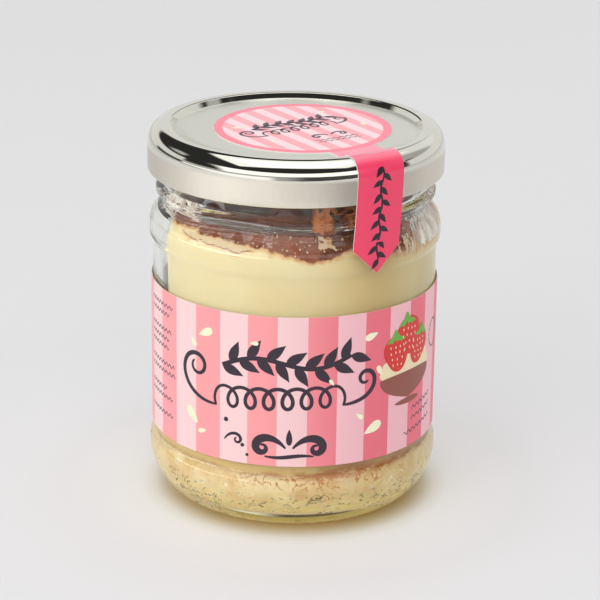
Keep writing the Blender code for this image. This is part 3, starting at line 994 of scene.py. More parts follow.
def bowl(wide, high):
    """The outline of a shallow bowl with a flat brim."""

    def reach(turn):
        up = math.cos(turn)
        narrow = 1.0 if up > 0 else (1 - abs(up) ** 2.6) ** 0.5 * 0.62 + 0.38 * (1 - abs(up) ** 6)
        return (wide / 2 * math.sin(turn) * narrow, high * (0.12 * up if up > 0 else 0.88 * up))

    return reach


def cloud(wide, high, lumps):
    """The outline of a soft dollop with lumps along its top."""

    def reach(turn):
        lump = 1 + 0.09 * abs(math.sin(lumps * turn / 2))
        return (wide / 2 * math.sin(turn) * lump, high / 2 * math.cos(turn) * lump)

    return reach


def round_dot(size):
    """The outline of a dot."""
    return lambda turn: (size / 2 * math.sin(turn), size / 2 * math.cos(turn))


def crown_line(start, wide, up, rise, swing, steps):
    """A rising wavy line for a garland, from sizes in millimetres."""
    shares = [i / steps for i in range(steps + 1)]
    return [Vector(mm(start + wide * share, up + rise * share + swing * math.sin(math.tau * share)))
            for share in shares]


def label_scrollwork(label):
    """Dark ornament on the front of the label: a bold garland, a looped flourish and two small scrolls."""
    place = on_label(label)
    ink = printed_ink("dark_ink", label.ink)
    crown = crown_line(-17.6, 32.0, 43.6, 3.4, 1.9, 60)
    wreath = garland("label_garland", crown, place, ink, *mm(2.3, 5.9, 2.5), 46.0, 1.1 * MM)
    placed(wreath, "label_paper")

    bm = bmesh.new()
    bold, fine, even = (swelling(*mm(*pen), power) for pen, power in
                        (((0.5, 2.1), 1.2), ((0.4, 1.15), 0.5), ((0.55, 0.95), 0.4)))
    add_stroke(bm, scroll(mm(-19.2, 33.0), 184, 33 * MM, -0.42, -1.0, 90), fine, place)
    add_stroke(bm, loops(mm(-19.4, 33.0), mm(12.6, 34.4), *mm(2.6, 2.3), 7), even, place)
    add_stroke(bm, scroll(mm(12.4, 34.4), 0, 21 * MM, 0.2, 0.95, 80), fine, place)
    foot, middle = mm(25.0, -0.6)
    curl = scroll((middle + 0.9 * MM, foot - 1.4 * MM), 52, 15.5 * MM, -0.3, -0.95, 70)
    for line in (curl, mirrored(curl, middle)):
        add_stroke(bm, line, bold, place)
    swash = []
    for i in range(-20, 21):
        swash.append(Vector((middle + i * 0.3 * MM, 21.4 * MM + 0.3 * MM * math.sin(i / 7))))
    add_stroke(bm, swash, swelling(*mm(0.35, 1.0)), place)
    small = scroll(mm(-17.0, 24.4), 60, 9 * MM, -0.3, -0.85, 50)
    add_stroke(bm, small, swelling(*mm(0.3, 0.8)), place)
    add_patch(bm, (middle, foot + 1.5 * MM), petal(*mm(4.2, 1.9), 0.4), place)
    for right, up, size in ((-16.6, 29.6, 1.2), (-12.2, 23.6, 1.0), (-11.0, 21.2, 0.8)):
        add_patch(bm, mm(right, up), round_dot(size * MM), place, steps=20, rings=2)
    placed(shaped("label_scrollwork", bm, ink), "label_paper")


def label_hairlines(label):
    """Thin wavy hairlines towards the two ends of the label's front, and a small wreath."""
    bm = bmesh.new()
    place = on_label(label)
    draw = random.Random(3)
    heights = (53.4, 51.2, 47.0, 44.8, 42.6, 38.2, 36.0, 31.6, 29.4, 25.0)
    rows = [(-47.5, -33.5 - draw.uniform(0, 5), up) for up in heights]
    rows += [(34.5, 44.5, 28.6), (34.5, 44.5, 26.0), (31.5, 44.5, 22.4)]
    steps = 90
    for low, high, up in rows:
        line = []
        for i in range(steps + 1):
            right = low + (high - low) * i / steps
            slope = 0.12 * (right - low) if low > 0 else 0.0
            line.append(Vector(mm(right, up + slope + 0.42 * math.sin(right * 3.6))))
        add_stroke(bm, line, swelling(*HAIRLINE, 0.3), place)
    leaves = 18
    for i in range(leaves):
        turn = math.tau * i / leaves
        spot = mm(46.6 + 3.1 * math.cos(turn), 45.0 + 3.6 * math.sin(turn))
        add_patch(bm, spot, petal(*mm(1.2, 0.6), 0.5), place, turns=i / leaves, steps=12, rings=1)
    ink = printed_ink("grey_ink", tuple(c * 3.2 for c in label.ink))
    placed(shaped("label_hairlines", bm, ink), "label_paper")


def label_petals(label):
    """Cream petals strewn round the dark ornament."""
    bm = bmesh.new()
    place = on_label(label)
    spots = (
        (-22.6, 50.8, 4.4, 0.32), (-26.4, 47.6, 2.6, 0.12), (-26.8, 28.4, 5.2, 0.62),
        (-23.6, 25.0, 2.6, 0.80), (20.0, 51.0, 3.8, -0.20), (22.6, 41.6, 3.0, -0.42),
        (20.8, 27.0, 5.4, -0.68), (17.0, 30.8, 2.4, -0.86), (-9.4, 50.2, 2.2, 0.25), (9.6, 40.4, 2.0, -0.4),
    )
    for right, up, size, turns in spots:
        shape = petal(*mm(size, size * 0.62), 0.5)
        add_patch(bm, mm(right, up), shape, place, turns=turns, steps=28, rings=4)
    item = shaped("label_petals", bm, printed_ink("cream_ink", label.cream, 0.97))
    return placed(item, "label_paper")


def label_dish(label):
    """A dish of berries and cream to the right of the ornament."""
    place = on_label(label)
    raised, top, crest = (on_label(label, level * PRINT) for level in (1.2, 2.4, 3.6))
    dish, cream, fruit, leaves, seeds = (bmesh.new() for _ in range(5))
    draw = random.Random(5)
    middle = 32.6
    add_patch(cream, mm(middle, 40.4), cloud(*mm(18.6, 8.6), 9), place, steps=72, rings=10)
    add_patch(dish, mm(middle, 38.4), bowl(*mm(19.6, 7.0)), raised, steps=72, rings=10)
    add_patch(dish, mm(middle, 31.4), petal(*mm(9.6, 1.7), 0.15), raised, turns=0.25, steps=40)
    berries = ((28.2, 45.2, 8.4, 0.02), (36.8, 45.0, 7.8, -0.05), (32.6, 48.8, 8.6, 0.03))
    for right, up, size, turns in berries:
        spot = mm(right, up)
        add_patch(fruit, spot, berry(size * MM), top, turns=turns, steps=48, rings=6)
        tip = Vector((0, size * 0.5 * MM))
        tip.rotate(Matrix.Rotation(turns * math.tau, 2))
        for k in (-2, -1, 0, 1, 2):
            leaf = (spot[0] + tip.x + k * size * 0.1 * MM, spot[1] + tip.y - abs(k) * 0.05 * size * MM)
            shape = petal(size * 0.4 * MM, size * 0.18 * MM, 0.5)
            add_patch(leaves, leaf, shape, crest, turns=turns + 0.5 + k * 0.1, steps=20, rings=3)
        for row in range(4):
            for k in range(4 - row // 2):
                across = (k - (3 - row // 2) / 2) * size * 0.19 + draw.uniform(-0.2, 0.2)
                down = (row - 0.9) * size * 0.19 + draw.uniform(-0.15, 0.15)
                seed = (spot[0] + across * MM, spot[1] - down * MM)
                add_patch(seeds, seed, petal(*mm(0.7, 0.36), 0.4), crest, steps=10, rings=1)
    pieces = (
        ("label_cream", cream, "whipped_ink", label.whip, 0.9),
        ("label_dish", dish, "dish_ink", label.dish, 0.85),
        ("label_berries", fruit, "berry_ink", label.berry, 0.72),
        ("label_leaves", leaves, "leaf_ink", label.leaf, 0.8),
        ("label_seeds", seeds, "seed_ink", label.cream, 0.9),
    )
    for name, bm, ink, shade, deeper in pieces:
        placed(shaped(name, bm, printed_ink(ink, shade, deeper)), "label_paper")


class JarcakeLabel(bpy.types.Operator):
    """Builds the striped label and the ornament printed on it"""

    bl_idname = "jarcake.label"
    bl_label = "Striped label"

    def execute(self, context):
        label = context.scene.cheesecake_jar.label
        make_label(label)
        label_scrollwork(label)
        label_hairlines(label)
        label_petals(label)
        label_dish(label)
        return {"FINISHED"}


def tail_run(lid):
    """The lid's outer face from its middle out and down to the glass shoulder, as (run, radius, height)."""
    path = lid_wall(lid, 0.0, 24)[::-1]
    path += [(lid.radius, lid.bottom + 0.9 * MM), (lid.radius - 0.05 * MM, lid.bottom)]
    path += [mm(36.72, 80), mm(36.5, 76), mm(36.42, 73), mm(36.46, 70), mm(36.44, 64)]
    run, runs = 0.0, []
    for i, (radius, height) in enumerate(path):
        if i:
            run += math.dist(path[i - 1], path[i])
        runs.append((run, radius, height))
    return runs


def follow(runs, run):
    """The (radius, height) at a run along the path."""
    for (low, *start), (high, *end) in zip(runs, runs[1:]):
        if low <= run <= high and high > low:
            return between(start, end, (run - low) / (high - low))
    return runs[-1][1:]


def on_seal(seal, lid, lift=0.0):
    """Maps flat sticker coordinates, along the tail and across it, to the lid and the glass."""
    runs = tail_run(lid)
    turn = math.radians(seal.azimuth)
    along, across = heading(seal.azimuth), Vector((math.cos(turn), math.sin(turn), 0.0))
    rim = lid.recess_radius

    def place(forward, side, out=0.0):
        run = math.hypot(forward, side) * (1 if forward > 0 else -1)
        rise = lift + out
        if run < rim - 1.5 * MM:
            return along * forward + across * side + Vector((0, 0, lid.recess_height + rise))
        before, after = follow(runs, run - 0.3 * MM), follow(runs, run + 0.3 * MM)
        radius, height = follow(runs, run)
        slope = Vector((after[0] - before[0], after[1] - before[1])).normalized()
        spot = Vector((forward, side, 0.0)) / 3.1 / MM * Vector((0.9, 0.45, 1.0))
        crease = noise.noise(spot) * ease(rim - MM, rim + 3 * MM, run)
        crease *= 0.28 * MM * (1 - ease(rim + 9 * MM, rim + 14 * MM, run))
        fold = 0.22 * MM * hump(height, 75 * MM, 0.5 * MM)
        rise += max(crease, 0.0) - fold * 0.5
        radius += -slope.y * rise
        height += slope.x * rise
        out_way = math.sqrt(max(radius**2 - side**2, 0.0))
        return along * out_way + across * side + Vector((0, 0, height))

    return place


def run_to(runs, height):
    """How far along the path, outside the lid's crest, the tail first comes down to a height."""
    for (low, _, low_height), (high, _, high_height) in zip(runs, runs[1:]):
        if low > 34 * MM and high_height <= height <= low_height and low_height > high_height:
            return low + (high - low) * (low_height - height) / (low_height - high_height)
    raise ValueError("the tail never comes down to that height")


def seal_outline(seal, lid):
    """The flat outline of the sticker and its tail, the disc's middle and the tail's middle line."""
    runs = tail_run(lid)
    corner_run, tip_run = run_to(runs, seal.corner), run_to(runs, seal.tip)
    turn = math.radians(seal.azimuth)

    def axis(run):
        return seal.start + seal.slant * run

    def flat(x, y):
        return Vector((x * math.sin(turn) - y * math.cos(turn), x * math.cos(turn) + y * math.sin(turn)))

    middle = flat(seal.place_x, seal.place_y)
    steps = 720
    turns = [math.tau * i / steps for i in range(steps)]
    outline = [middle + flat(seal.wide * math.cos(angle), seal.deep * math.sin(angle)) for angle in turns]
    tail = [spot.x > 0 and abs(spot.y - axis(spot.x)) < seal.half_width for spot in outline]
    first = next(i for i in range(steps) if tail[i - 1] and not tail[i])
    outline = [outline[(first + i) % steps] for i in range(steps) if not tail[(first + i) % steps]]
    outline = outline[:-1:4] + outline[-1:]
    joint = outline[-1]
    if joint.y > axis(joint.x):
        outline.reverse()
        joint = outline[-1]

    def edge(run, side, share=0.0):
        outline.append(Vector((run, axis(run) + side * seal.half_width * (1 - share))))

    lines, slopes = 70, 10
    for i in range(1, lines + 1):
        edge(joint.x + (corner_run - joint.x) * i / lines, -1)
    for i in range(1, slopes + 1):
        edge(corner_run + (tip_run - corner_run) * (i / slopes), -1, i / slopes)
    for i in range(1, slopes + 1):
        edge(corner_run + (tip_run - corner_run) * (1 - i / slopes), 1, 1 - i / slopes)
    for i in range(1, lines):
        edge(corner_run + (outline[0].x - corner_run) * i / lines, 1)
    return outline, middle, axis


UV_SCALE = 10


def seal_film(seal, lid, middle):
    """Glossy printed film: stripes inside a border on the lid, and one strong pink on the tail, painted paler
    as a painted reflection where the tail lies on the panel.
    """
    finish, web, shader = painted("seal_film")
    flat = web.parts(web.add("ShaderNodeUVMap", uv_map="flat").outputs[0])
    along, across = (web.product(flat[key], 1 / UV_SCALE) for key in "XY")
    place = web.joined(along, across)
    turn = math.radians(seal.azimuth)
    off = web.vector("SUBTRACT", place, (middle.x, middle.y, 0.0))
    ways = ((math.sin(turn), math.cos(turn), seal.wide), (-math.cos(turn), math.sin(turn), seal.deep))
    squares = []
    for x, y, reach in ways:
        part = web.vector("DOT_PRODUCT", off, (x / reach, y / reach, 0.0))
        squares.append(web.maths("POWER", web.size(part), 2.0))
    rim = web.maths("SQRT", web.plus(*squares))
    shifted = web.plus(across, 20 * seal.stripe_pair + 0.9 * MM)
    share = web.maths("FRACT", web.ratio(shifted, seal.stripe_pair))
    stripes = web.mix(web.maths("LESS_THAN", share, 0.5), seal.dark, seal.pale)
    border = web.maths("GREATER_THAN", rim, 1 - seal.border / seal.wide)
    disc = web.mix(border, stripes, seal.rim)
    tail = web.product(web.maths("GREATER_THAN", rim, 1.002), web.maths("GREATER_THAN", along, 0.0))
    # Painted reflection: the tail is painted in its paler colour on the panel and turns to its own pink over
    # the crest.
    bend = web.ramp(along, lid.recess_radius + 0.5 * MM, lid.recess_radius + 7.0 * MM)
    strip = web.mix(bend, seal.bright, seal.tail)
    fibre = web.noise(place, 900.0, 3.0)
    web.give(shader, {
        "Base Color": web.mix(tail, disc, strip),
        "Roughness": web.plus(0.2, web.product(fibre, 0.08)),
        "Normal": web.bump(web.noise(place, 260.0, 3.0), 0.12, 0.25 * MM),
        "Specular IOR Level": 0.6,
    })
    return finish


def make_seal(seal, lid):
    """The round sticker and its tail as one thin sheet with a white cut edge."""
    outline, middle, axis = seal_outline(seal, lid)
    spread = 0.9 * MM
    inner = []
    furthest = max(point.x for point in outline)
    rows = int(furthest / spread)
    for i in range(1, rows):
        run = i * spread
        if run > middle.x + seal.wide - 6 * MM:
            for j in range(-7, 8):
                spot = Vector((run, axis(run) + j * spread))
                on_tail = geometry.intersect_point_quad_2d(spot, *tail_box(axis, seal, run))
                if on_tail and inside(spot, outline, 0.35 * MM):
                    inner.append(spot)
    points = outline + inner
    loop = [(i, (i + 1) % len(outline)) for i in range(len(outline))]
    verts, _, faces, *_ = geometry.delaunay_2d_cdt(points, loop, [], 1, 1e-9)
    place = on_seal(seal, lid, 0.01 * MM)
    bm = bmesh.new()
    flat = bm.loops.layers.uv.new("flat")
    top = [bm.verts.new(place(vert.x, vert.y, seal.film)) for vert in verts]
    base = [bm.verts.new(place(vert.x, vert.y)) for vert in verts]
    spots = {}
    for vert, over, under in zip(verts, top, base):
        spots[over] = spots[under] = vert
    edges = {}
    for face in faces:
        bm.faces.new([top[i] for i in face])
        bm.faces.new([base[i] for i in reversed(face)]).material_index = 1
        for i, j in zip(face, face[1:] + face[:1]):
            edges.setdefault(frozenset((i, j)), []).append((i, j))
    for pairs in edges.values():
        if len(pairs) == 1:
            i, j = pairs[0]
            bm.faces.new((top[j], top[i], base[i], base[j])).material_index = 1
    for face in bm.faces:
        for corner_loop in face.loops:
            corner_loop[flat].uv = spots[corner_loop.vert] * UV_SCALE
    item = shaped("lid_seal", bm, seal_film(seal, lid, middle), cut_paper())
    placed(item, "sticker_film", "lid_sticker")
    return middle, axis


def tail_box(axis, seal, run):
    """A rectangle across the tail at a run, wide enough for its whole width."""
    left, right = axis(run) - seal.half_width, axis(run) + seal.half_width
    corners = ((run - MM, left), (run + MM, left), (run + MM, right), (run - MM, right))
    return [Vector(point) for point in corners]


def inside(spot, outline, margin):
    """True if a point is inside an outline and not too near it."""
    hit = False
    for start, end in zip(outline, outline[1:] + outline[:1]):
        if (start.y > spot.y) != (end.y > spot.y):
            if spot.x < start.x + (spot.y - start.y) / (end.y - start.y) * (end.x - start.x):
                hit = not hit
        nearest, share = geometry.intersect_point_line(spot, start, end)[:2]
        if 0 <= share <= 1 and (nearest.xy - spot).length < margin:
            return False
    return hit


def seal_ornament(seal, lid, label, middle, axis):
    """A garland and flourishes on the round sticker, and a garland down the tail."""
    place = on_seal(seal, lid, 0.01 * MM + seal.film)

    def on_disc(right, up, out=0.0):
        return place(middle.x - up, middle.y + right, out)

    ink = printed_ink("seal_ink", seal.ink)
    crown = crown_line(-12.0, 22.0, 4.4, 1.6, 0.9, 40)
    wreath = garland("seal_garland", crown, on_disc, ink, *mm(1.6, 3.9, 1.7), 46.0, 0.7 * MM)
    placed(wreath, "sticker_film")
    bm = bmesh.new()
    even, fine = swelling(*mm(0.35, 0.65), 0.4), swelling(*mm(0.3, 0.75), 0.5)
    add_stroke(bm, scroll(mm(-11.4, -2.4), 184, 17 * MM, -0.42, -1.0, 70), fine, on_disc)
    add_stroke(bm, loops(mm(-11.6, -2.4), mm(9.4, -0.8), *mm(1.7, 1.5), 7), even, on_disc)
    add_stroke(bm, scroll(mm(9.3, -0.8), 4, 12 * MM, 0.2, 0.95, 60), fine, on_disc)
    curl = scroll(mm(2.5, -8.8), 50, 8.5 * MM, -0.3, -0.9, 50)
    for line in (curl, mirrored(curl, 2.0 * MM)):
        add_stroke(bm, line, fine, on_disc)
    for up in (-12.0, -13.6):
        line = [Vector(mm(-4.0 + i * 0.2, up + 0.3 * math.sin(i * 0.72))) for i in range(61)]
        add_stroke(bm, line, swelling(*HAIRLINE, 0.3), on_disc)
    placed(shaped("seal_scrollwork", bm, ink), "sticker_film")

    cream = bmesh.new()
    spots = ((-14.5, 8.0, 2.8, 0.2), (12.6, 10.4, 2.4, -0.2), (-12.8, -7.4, 2.4, 0.6))
    for right, up, size, turns in (*spots, (15.0, -4.5, 3.0, -0.6)):
        shape = petal(*mm(size, size * 0.6), 0.5)
        add_patch(cream, mm(right, up), shape, on_disc, turns=turns, steps=20, rings=2)
    placed(shaped("seal_petals", cream, printed_ink("seal_cream", label.cream, 0.95)), "sticker_film")

    runs = tail_run(lid)
    low, high = run_to(runs, 93.2 * MM), run_to(runs, 70.6 * MM)
    line = []
    for i in range(101):
        run = low + (high - low) * i / 100
        line.append(Vector((run, axis(run) + 0.35 * MM * math.sin(i / 5))))
    tail_ink = printed_ink("tail_ink", tuple(c * 0.6 for c in label.ink))
    vine = garland("tail_garland", line, place, tail_ink, *mm(1.55, 3.0, 1.35), 50.0, 0.55 * MM)
    placed(vine, "sticker_film")


class JarcakeSeal(bpy.types.Operator):
    """Builds the sticker that seals the lid to the glass"""

    bl_idname = "jarcake.seal"
    bl_label = "Lid seal"

    def execute(self, context):
        jar = context.scene.cheesecake_jar
        middle, axis = make_seal(jar.seal, jar.lid)
        seal_ornament(jar.seal, jar.lid, jar.label, middle, axis)
        return {"FINISHED"}


REACH = 0.12 * MM


def seam_height(biscuit, x, y):
    """The uneven height at which the biscuit meets the cream."""
    spot = Vector((x, y, 0.0))
    wave = noise.noise(spot / (9 * MM)) + 0.45 * noise.noise(spot / (2.2 * MM))
    wave += 0.2 * noise.noise(spot / (0.8 * MM))
    tilt = 0.9 * MM * math.sin(math.atan2(x, -y) * 0.5) ** 2
    return biscuit.seam + biscuit.wave * wave + tilt


def seam_ring(biscuit, glass, sides, share, lift):
    """A ring of points on the seam, at a share of the inner radius and a little off its height."""
    spots = [heading(360 * i / sides) * glass.inner_radius * share for i in range(sides)]
    return [spot + Vector((0, 0, seam_height(biscuit, spot.x, spot.y) + lift)) for spot in spots]


def stacked(bm, rings):
    """Joins rings of points, the first and last of them single points, into a closed skin."""
    rows = [[bm.verts.new(point) for point in ring] for ring in rings]
    for below, above in zip(rows, rows[1:]):
        steps = max(len(below), len(above))
        for i in range(steps):
            j = (i + 1) % steps
            corners = [row[k % len(row)] for row, k in ((below, i), (below, j), (above, j), (above, i))]
            bm.faces.new(dict.fromkeys(corners))


def pore_field(pores, seed, low, high):
    """Small hollows against the glass, as (azimuth, height, width, tallness, slant, depth)."""
    draw = random.Random(seed)
    field = []
    for _ in range(pores):
        height = low + (high - low) * draw.random()
        wide = draw.uniform(0.25, 0.85) * MM
        tall = wide * draw.uniform(0.25, 0.5)
        azimuth, slant = draw.uniform(-180, 180), draw.uniform(-0.7, 0.7)
        field.append((azimuth, height, wide, tall, slant, draw.uniform(0.2, 0.45) * MM))
    return field


def pore_depths(field, sides, heights, radius):
    """How deep each grid point lies in the hollows, as {(column, row): depth}."""
    depths = {}
    step = 360 / sides
    for azimuth, height, wide, tall, slant, depth in field:
        span = int(wide * 1.4 / (math.radians(step) * radius)) + 1
        middle = round(azimuth / step)
        for row, level in enumerate(heights):
            if abs(level - height) > 1.5 * tall + abs(slant) * wide:
                continue
            for column in range(middle - span, middle + span + 1):
                across = math.radians(column * step - azimuth) * radius
                up = level - height - slant * across
                share = (across / wide) ** 2 + (up / tall) ** 2
                if share < 1:
                    key = (column % sides, row)
                    depths[key] = max(depths.get(key, 0.0), depth * (1 - share) ** 0.5)
    return depths


def squiggles(web, vector, scale, width, cut):
    """Thin broken lines that wind about, as where a layer lifts off the glass."""
    winding = web.noise(vector, scale, 2.0, 0.5)
    line = web.ramp(web.size(web.minus(winding, 0.5)), width, width * 0.35)
    return web.product(line, web.ramp(web.noise(vector, scale * 0.55, 2.0, 0.5), cut, cut + 0.03))


def biscuit_crumb(biscuit):
    """Pressed crumb: pale grains, thin dark lines of painted shade in hollows low down, painted highlights,
    painted light low down, toasted lines and a toasted band on top.
    """
    finish, web, shader = painted("biscuit_crumb")
    place = web.place()
    height = web.parts(place)["Z"]
    azimuth = web.azimuth(place)
    patch = web.noise(place, 170.0, 4.0, 0.6)
    grain = web.noise(place, 900.0, 4.0, 0.65)
    shade = web.mix(web.ramp(patch, 0.35, 0.65), biscuit.pale, biscuit.mid)
    shade = web.mix(web.product(web.ramp(grain, 0.5, 0.8), 0.45), shade, biscuit.pale)
    shade = web.mix(web.product(web.ramp(grain, 0.46, 0.3), 0.22), shade, biscuit.toast)
    rosy = web.ramp(web.noise(place, 120.0, 2.0), 0.6, 0.75)
    off_spot = web.vector("DISTANCE", place, tuple(heading(3.0) * 33 * MM + Vector((0, 0, 10.5 * MM))))
    rosy = web.larger(rosy, web.ramp(off_spot, 3.0 * MM, 0.6 * MM))
    shade = web.mix(web.product(rosy, 0.3), shade, biscuit.toast)
    # Painted light: the crumb is painted paler low down and palest on its underside, for light that comes in
    # through the glass foot.
    shade = web.mix(web.product(web.ramp(height, 10 * MM, 6 * MM), 0.55), shade, screen(255, 238, 200))
    painted_underside_light = web.product(web.ramp(height, 6.0 * MM, 5.4 * MM), 0.95)
    shade = web.mix(painted_underside_light, shade, screen(240, 223, 240))
    # Painted highlights: pale lavender specks for glints in small air pockets against the glass.
    pale = web.ramp(web.noise(place, 640.0, 2.0, 0.5), 0.66, 0.74)
    pale = web.product(pale, web.ramp(height, 8 * MM, 9 * MM), web.ramp(height, 13 * MM, 11.5 * MM), 0.75)
    shade = web.mix(pale, shade, screen(228, 222, 232))
    middle = web.ramp(web.size(web.minus(azimuth, 12.0)), 45.0, 20.0)
    burnt = squiggles(web, place, 520.0, 0.05, 0.45)
    burnt = web.product(burnt, web.ramp(height, 11 * MM, 12.2 * MM), web.line(middle, 0.66, 0.12))
    shade = web.mix(burnt, shade, biscuit.toast)
    # Painted shade: thin dark winding lines low down for the small hollows against the glass.
    low = web.product(web.ramp(height, 11.4 * MM, 9.6 * MM), squiggles(web, place, 420.0, 0.036, 0.515))
    centre = web.ramp(web.size(web.plus(azimuth, 10.0)), 8.0, 24.0)
    low = web.product(low, web.line(centre, 0.6, 0.4))
    shade = web.mix(web.product(low, 0.85), shade, biscuit.shade)
    web.give(shader, {
        "Base Color": web.mix(web.attribute("toast"), shade, biscuit.toast),
        "Roughness": web.plus(0.55, web.product(grain, 0.3)),
        "Normal": web.bump(web.minus(grain, low), 0.3, 0.25 * MM),
        "Specular IOR Level": 0.2,
        "Subsurface Weight": 0.3,
        "Subsurface Radius": (2.4 * MM, 1.5 * MM, 0.8 * MM),
        "Subsurface Scale": 1.0,
    })
    return finish


def toasted(x, y, z, seam):
    """How toasted a point near the seam is: blotches that grow towards the right of the front."""
    azimuth = azimuth_of(Vector((x, y)))
    right = ease(-25, 12, azimuth) * (1 - 0.5 * ease(40, 75, azimuth))
    spot = Vector((x, y, z * 1.6))
    blotch = noise.noise(spot / (3.6 * MM)) + 0.5 * noise.noise(spot / (1.3 * MM))
    blob = hump(azimuth, 22, 9)
    reach = (0.55 + 0.9 * right + 0.9 * blob) * MM
    near = hump(z, seam + 0.25 * MM, reach)
    return min(1.0, near * (0.25 + (0.3 + 0.5 * right) * ease(-0.35, 0.25, blotch + 0.2 * right)))


def make_biscuit(biscuit, glass):
    """The biscuit layer: a crumbly side pressed against the glass, with hollows."""
    sides = biscuit.sides
    wall = glass_inside(glass)
    floor = [point for point in wall if point[0] > 0 and point[1] < FLOOR_EDGE[1] + 0.2 * MM]
    azimuths = [360 * i / sides for i in range(sides)]
    rings = [[Vector((0, 0, FLOOR_MIDDLE - REACH))]]
    for radius, height in floor:
        rings.append([spot_at(azimuth, radius, height - REACH) for azimuth in azimuths])
    low, steps = FLOOR_EDGE[1] + 0.3 * MM, 46
    heights = [low + (biscuit.seam - low) * i / steps for i in range(steps + 1)]
    depths = pore_depths(pore_field(biscuit.pores, 11, low, 10.6 * MM), sides, heights, 32 * MM)
    for row, height in enumerate(heights):
        share = row / steps
        ring = []
        for i, azimuth in enumerate(azimuths):
            rim = heading(azimuth) * glass.inner_radius
            top = seam_height(biscuit, rim.x, rim.y)
            high = low + (top - low) * share
            out = level_at(wall, high) + REACH
            spot = spot_at(azimuth, out, high)
            rough = max(noise.noise(spot / (1.1 * MM)) - 0.42, 0.0) * 0.7 * MM
            ring.append(spot_at(azimuth, out - depths.get((i, row), 0.0) - rough, high))
        rings.append(ring)
    for share, drop in ((0.985, 0.0), (0.9, 0.1), (0.7, 0.1), (0.4, 0.1)):
        rings.append(seam_ring(biscuit, glass, sides, share, -drop * MM))
    rings.append([Vector((0, 0, seam_height(biscuit, 0, 0)))])
    bm = bmesh.new()
    layer = bm.verts.layers.float.new("toast")
    stacked(bm, rings)
    for vert in bm.verts:
        vert[layer] = toasted(*vert.co, seam_height(biscuit, vert.co.x, vert.co.y))
    item = shaped("biscuit_layer", bm, biscuit_crumb(biscuit))
    return placed(item, "biscuit", "biscuit_base")


def drawn_back(cream, azimuth, height):
    """How far the cream has drawn back from the glass: on the left, and above the biscuit only."""
    turn = abs(from_behind(azimuth + 92))
    rise = ease(24 * MM, 44 * MM, height)
    return cream.shrink * (1 - ease(12, 34, turn)) * rise


# Heights round the front, as (azimuth, height in millimetres)
CRUST_LINE = (
    (-180, 73.0), (-110, 73.6), (-75, 73.3), (-63, 73.1), (-58, 73.6), (-54, 74.1), (-48, 73.5),
    (-42, 73.5), (-37, 73.4), (-32, 73.3), (-27, 73.0), (-22, 72.6), (-16, 72.3), (-13, 72.0),
    (-8, 71.7), (-2, 71.1), (3, 70.5), (14, 70.3), (21, 70.9), (35, 69.4), (48, 68.2), (57, 67.9),
    (70, 68.0), (90, 70.0), (180, 73.0),
)
RIDGE_FOOT = (
    (-180, 74.0), (-62, 74.0), (-55, 73.3), (-49, 72.3), (-43, 72.25), (-38, 72.15), (-33, 72.05),
    (-27, 71.8), (-22, 71.8), (-18, 72.1), (-12, 72.6), (180, 72.6),
)
RIDGE_TOP = (
    (-180, 74.6), (-62, 74.6), (-55, 73.8), (-49, 73.2), (-43, 73.2), (-38, 73.4), (-33, 73.5),
    (-27, 73.3), (-22, 72.8), (-18, 72.6), (-12, 72.9), (180, 72.9),
)


def read_off(table, azimuth):
    """A height in metres from a table of (azimuth, height in millimetres)."""
    turn = from_behind(azimuth)
    for (low, start), (high, end) in zip(table, table[1:]):
        if low <= turn <= high:
            return (start + (end - start) * (turn - low) / (high - low)) * MM
    return table[-1][1] * MM


def dry_ridge(azimuth, height):
    """How far a point lies on the pale dry ridge on the left of the front, and in the painted shadow just
    under it.
    """
    turn = from_behind(azimuth)
    way = heading(turn)
    reach = ease(-57, -52, turn) * (1 - ease(-20, -13, turn))
    foot = read_off(RIDGE_FOOT, azimuth) + 0.35 * MM * noise.noise(way * 16.0)
    foot += 0.3 * MM * noise.noise(way * 60.0)
    teeth = 0.4 * MM * abs(noise.noise(way * 60.0))
    top = read_off(RIDGE_TOP, azimuth) + 0.2 * MM * noise.noise(way * 9.0) - teeth
    ridge = ease(foot - 0.1 * MM, foot + 0.1 * MM, height)
    ridge *= 1 - ease(top - 0.1 * MM, top + 0.2 * MM, height)
    # Painted shadow: a darker band just under the ridge's foot, which also dents the cream.
    close, wide = hump(height, foot - 0.22 * MM, 0.24 * MM), hump(height, foot - 0.6 * MM, 0.6 * MM)
    return ridge * reach, max(0.74 * close, 0.3 * wide) * reach


def browning(azimuth, height):
    """How browned the cream is, 0 to 1, with a wide tan zone on the right of the front."""
    line = read_off(CRUST_LINE, azimuth)
    turn = from_behind(azimuth)
    slow = 2.4 * MM * ease(14, 28, turn) * (1 - ease(100, 140, turn))
    right = ease(42, 54, turn) * (1 - ease(110, 140, turn))
    return ease(line - 1.0 * MM, line + 1.4 * MM + slow, height) * (1 - 0.35 * right)


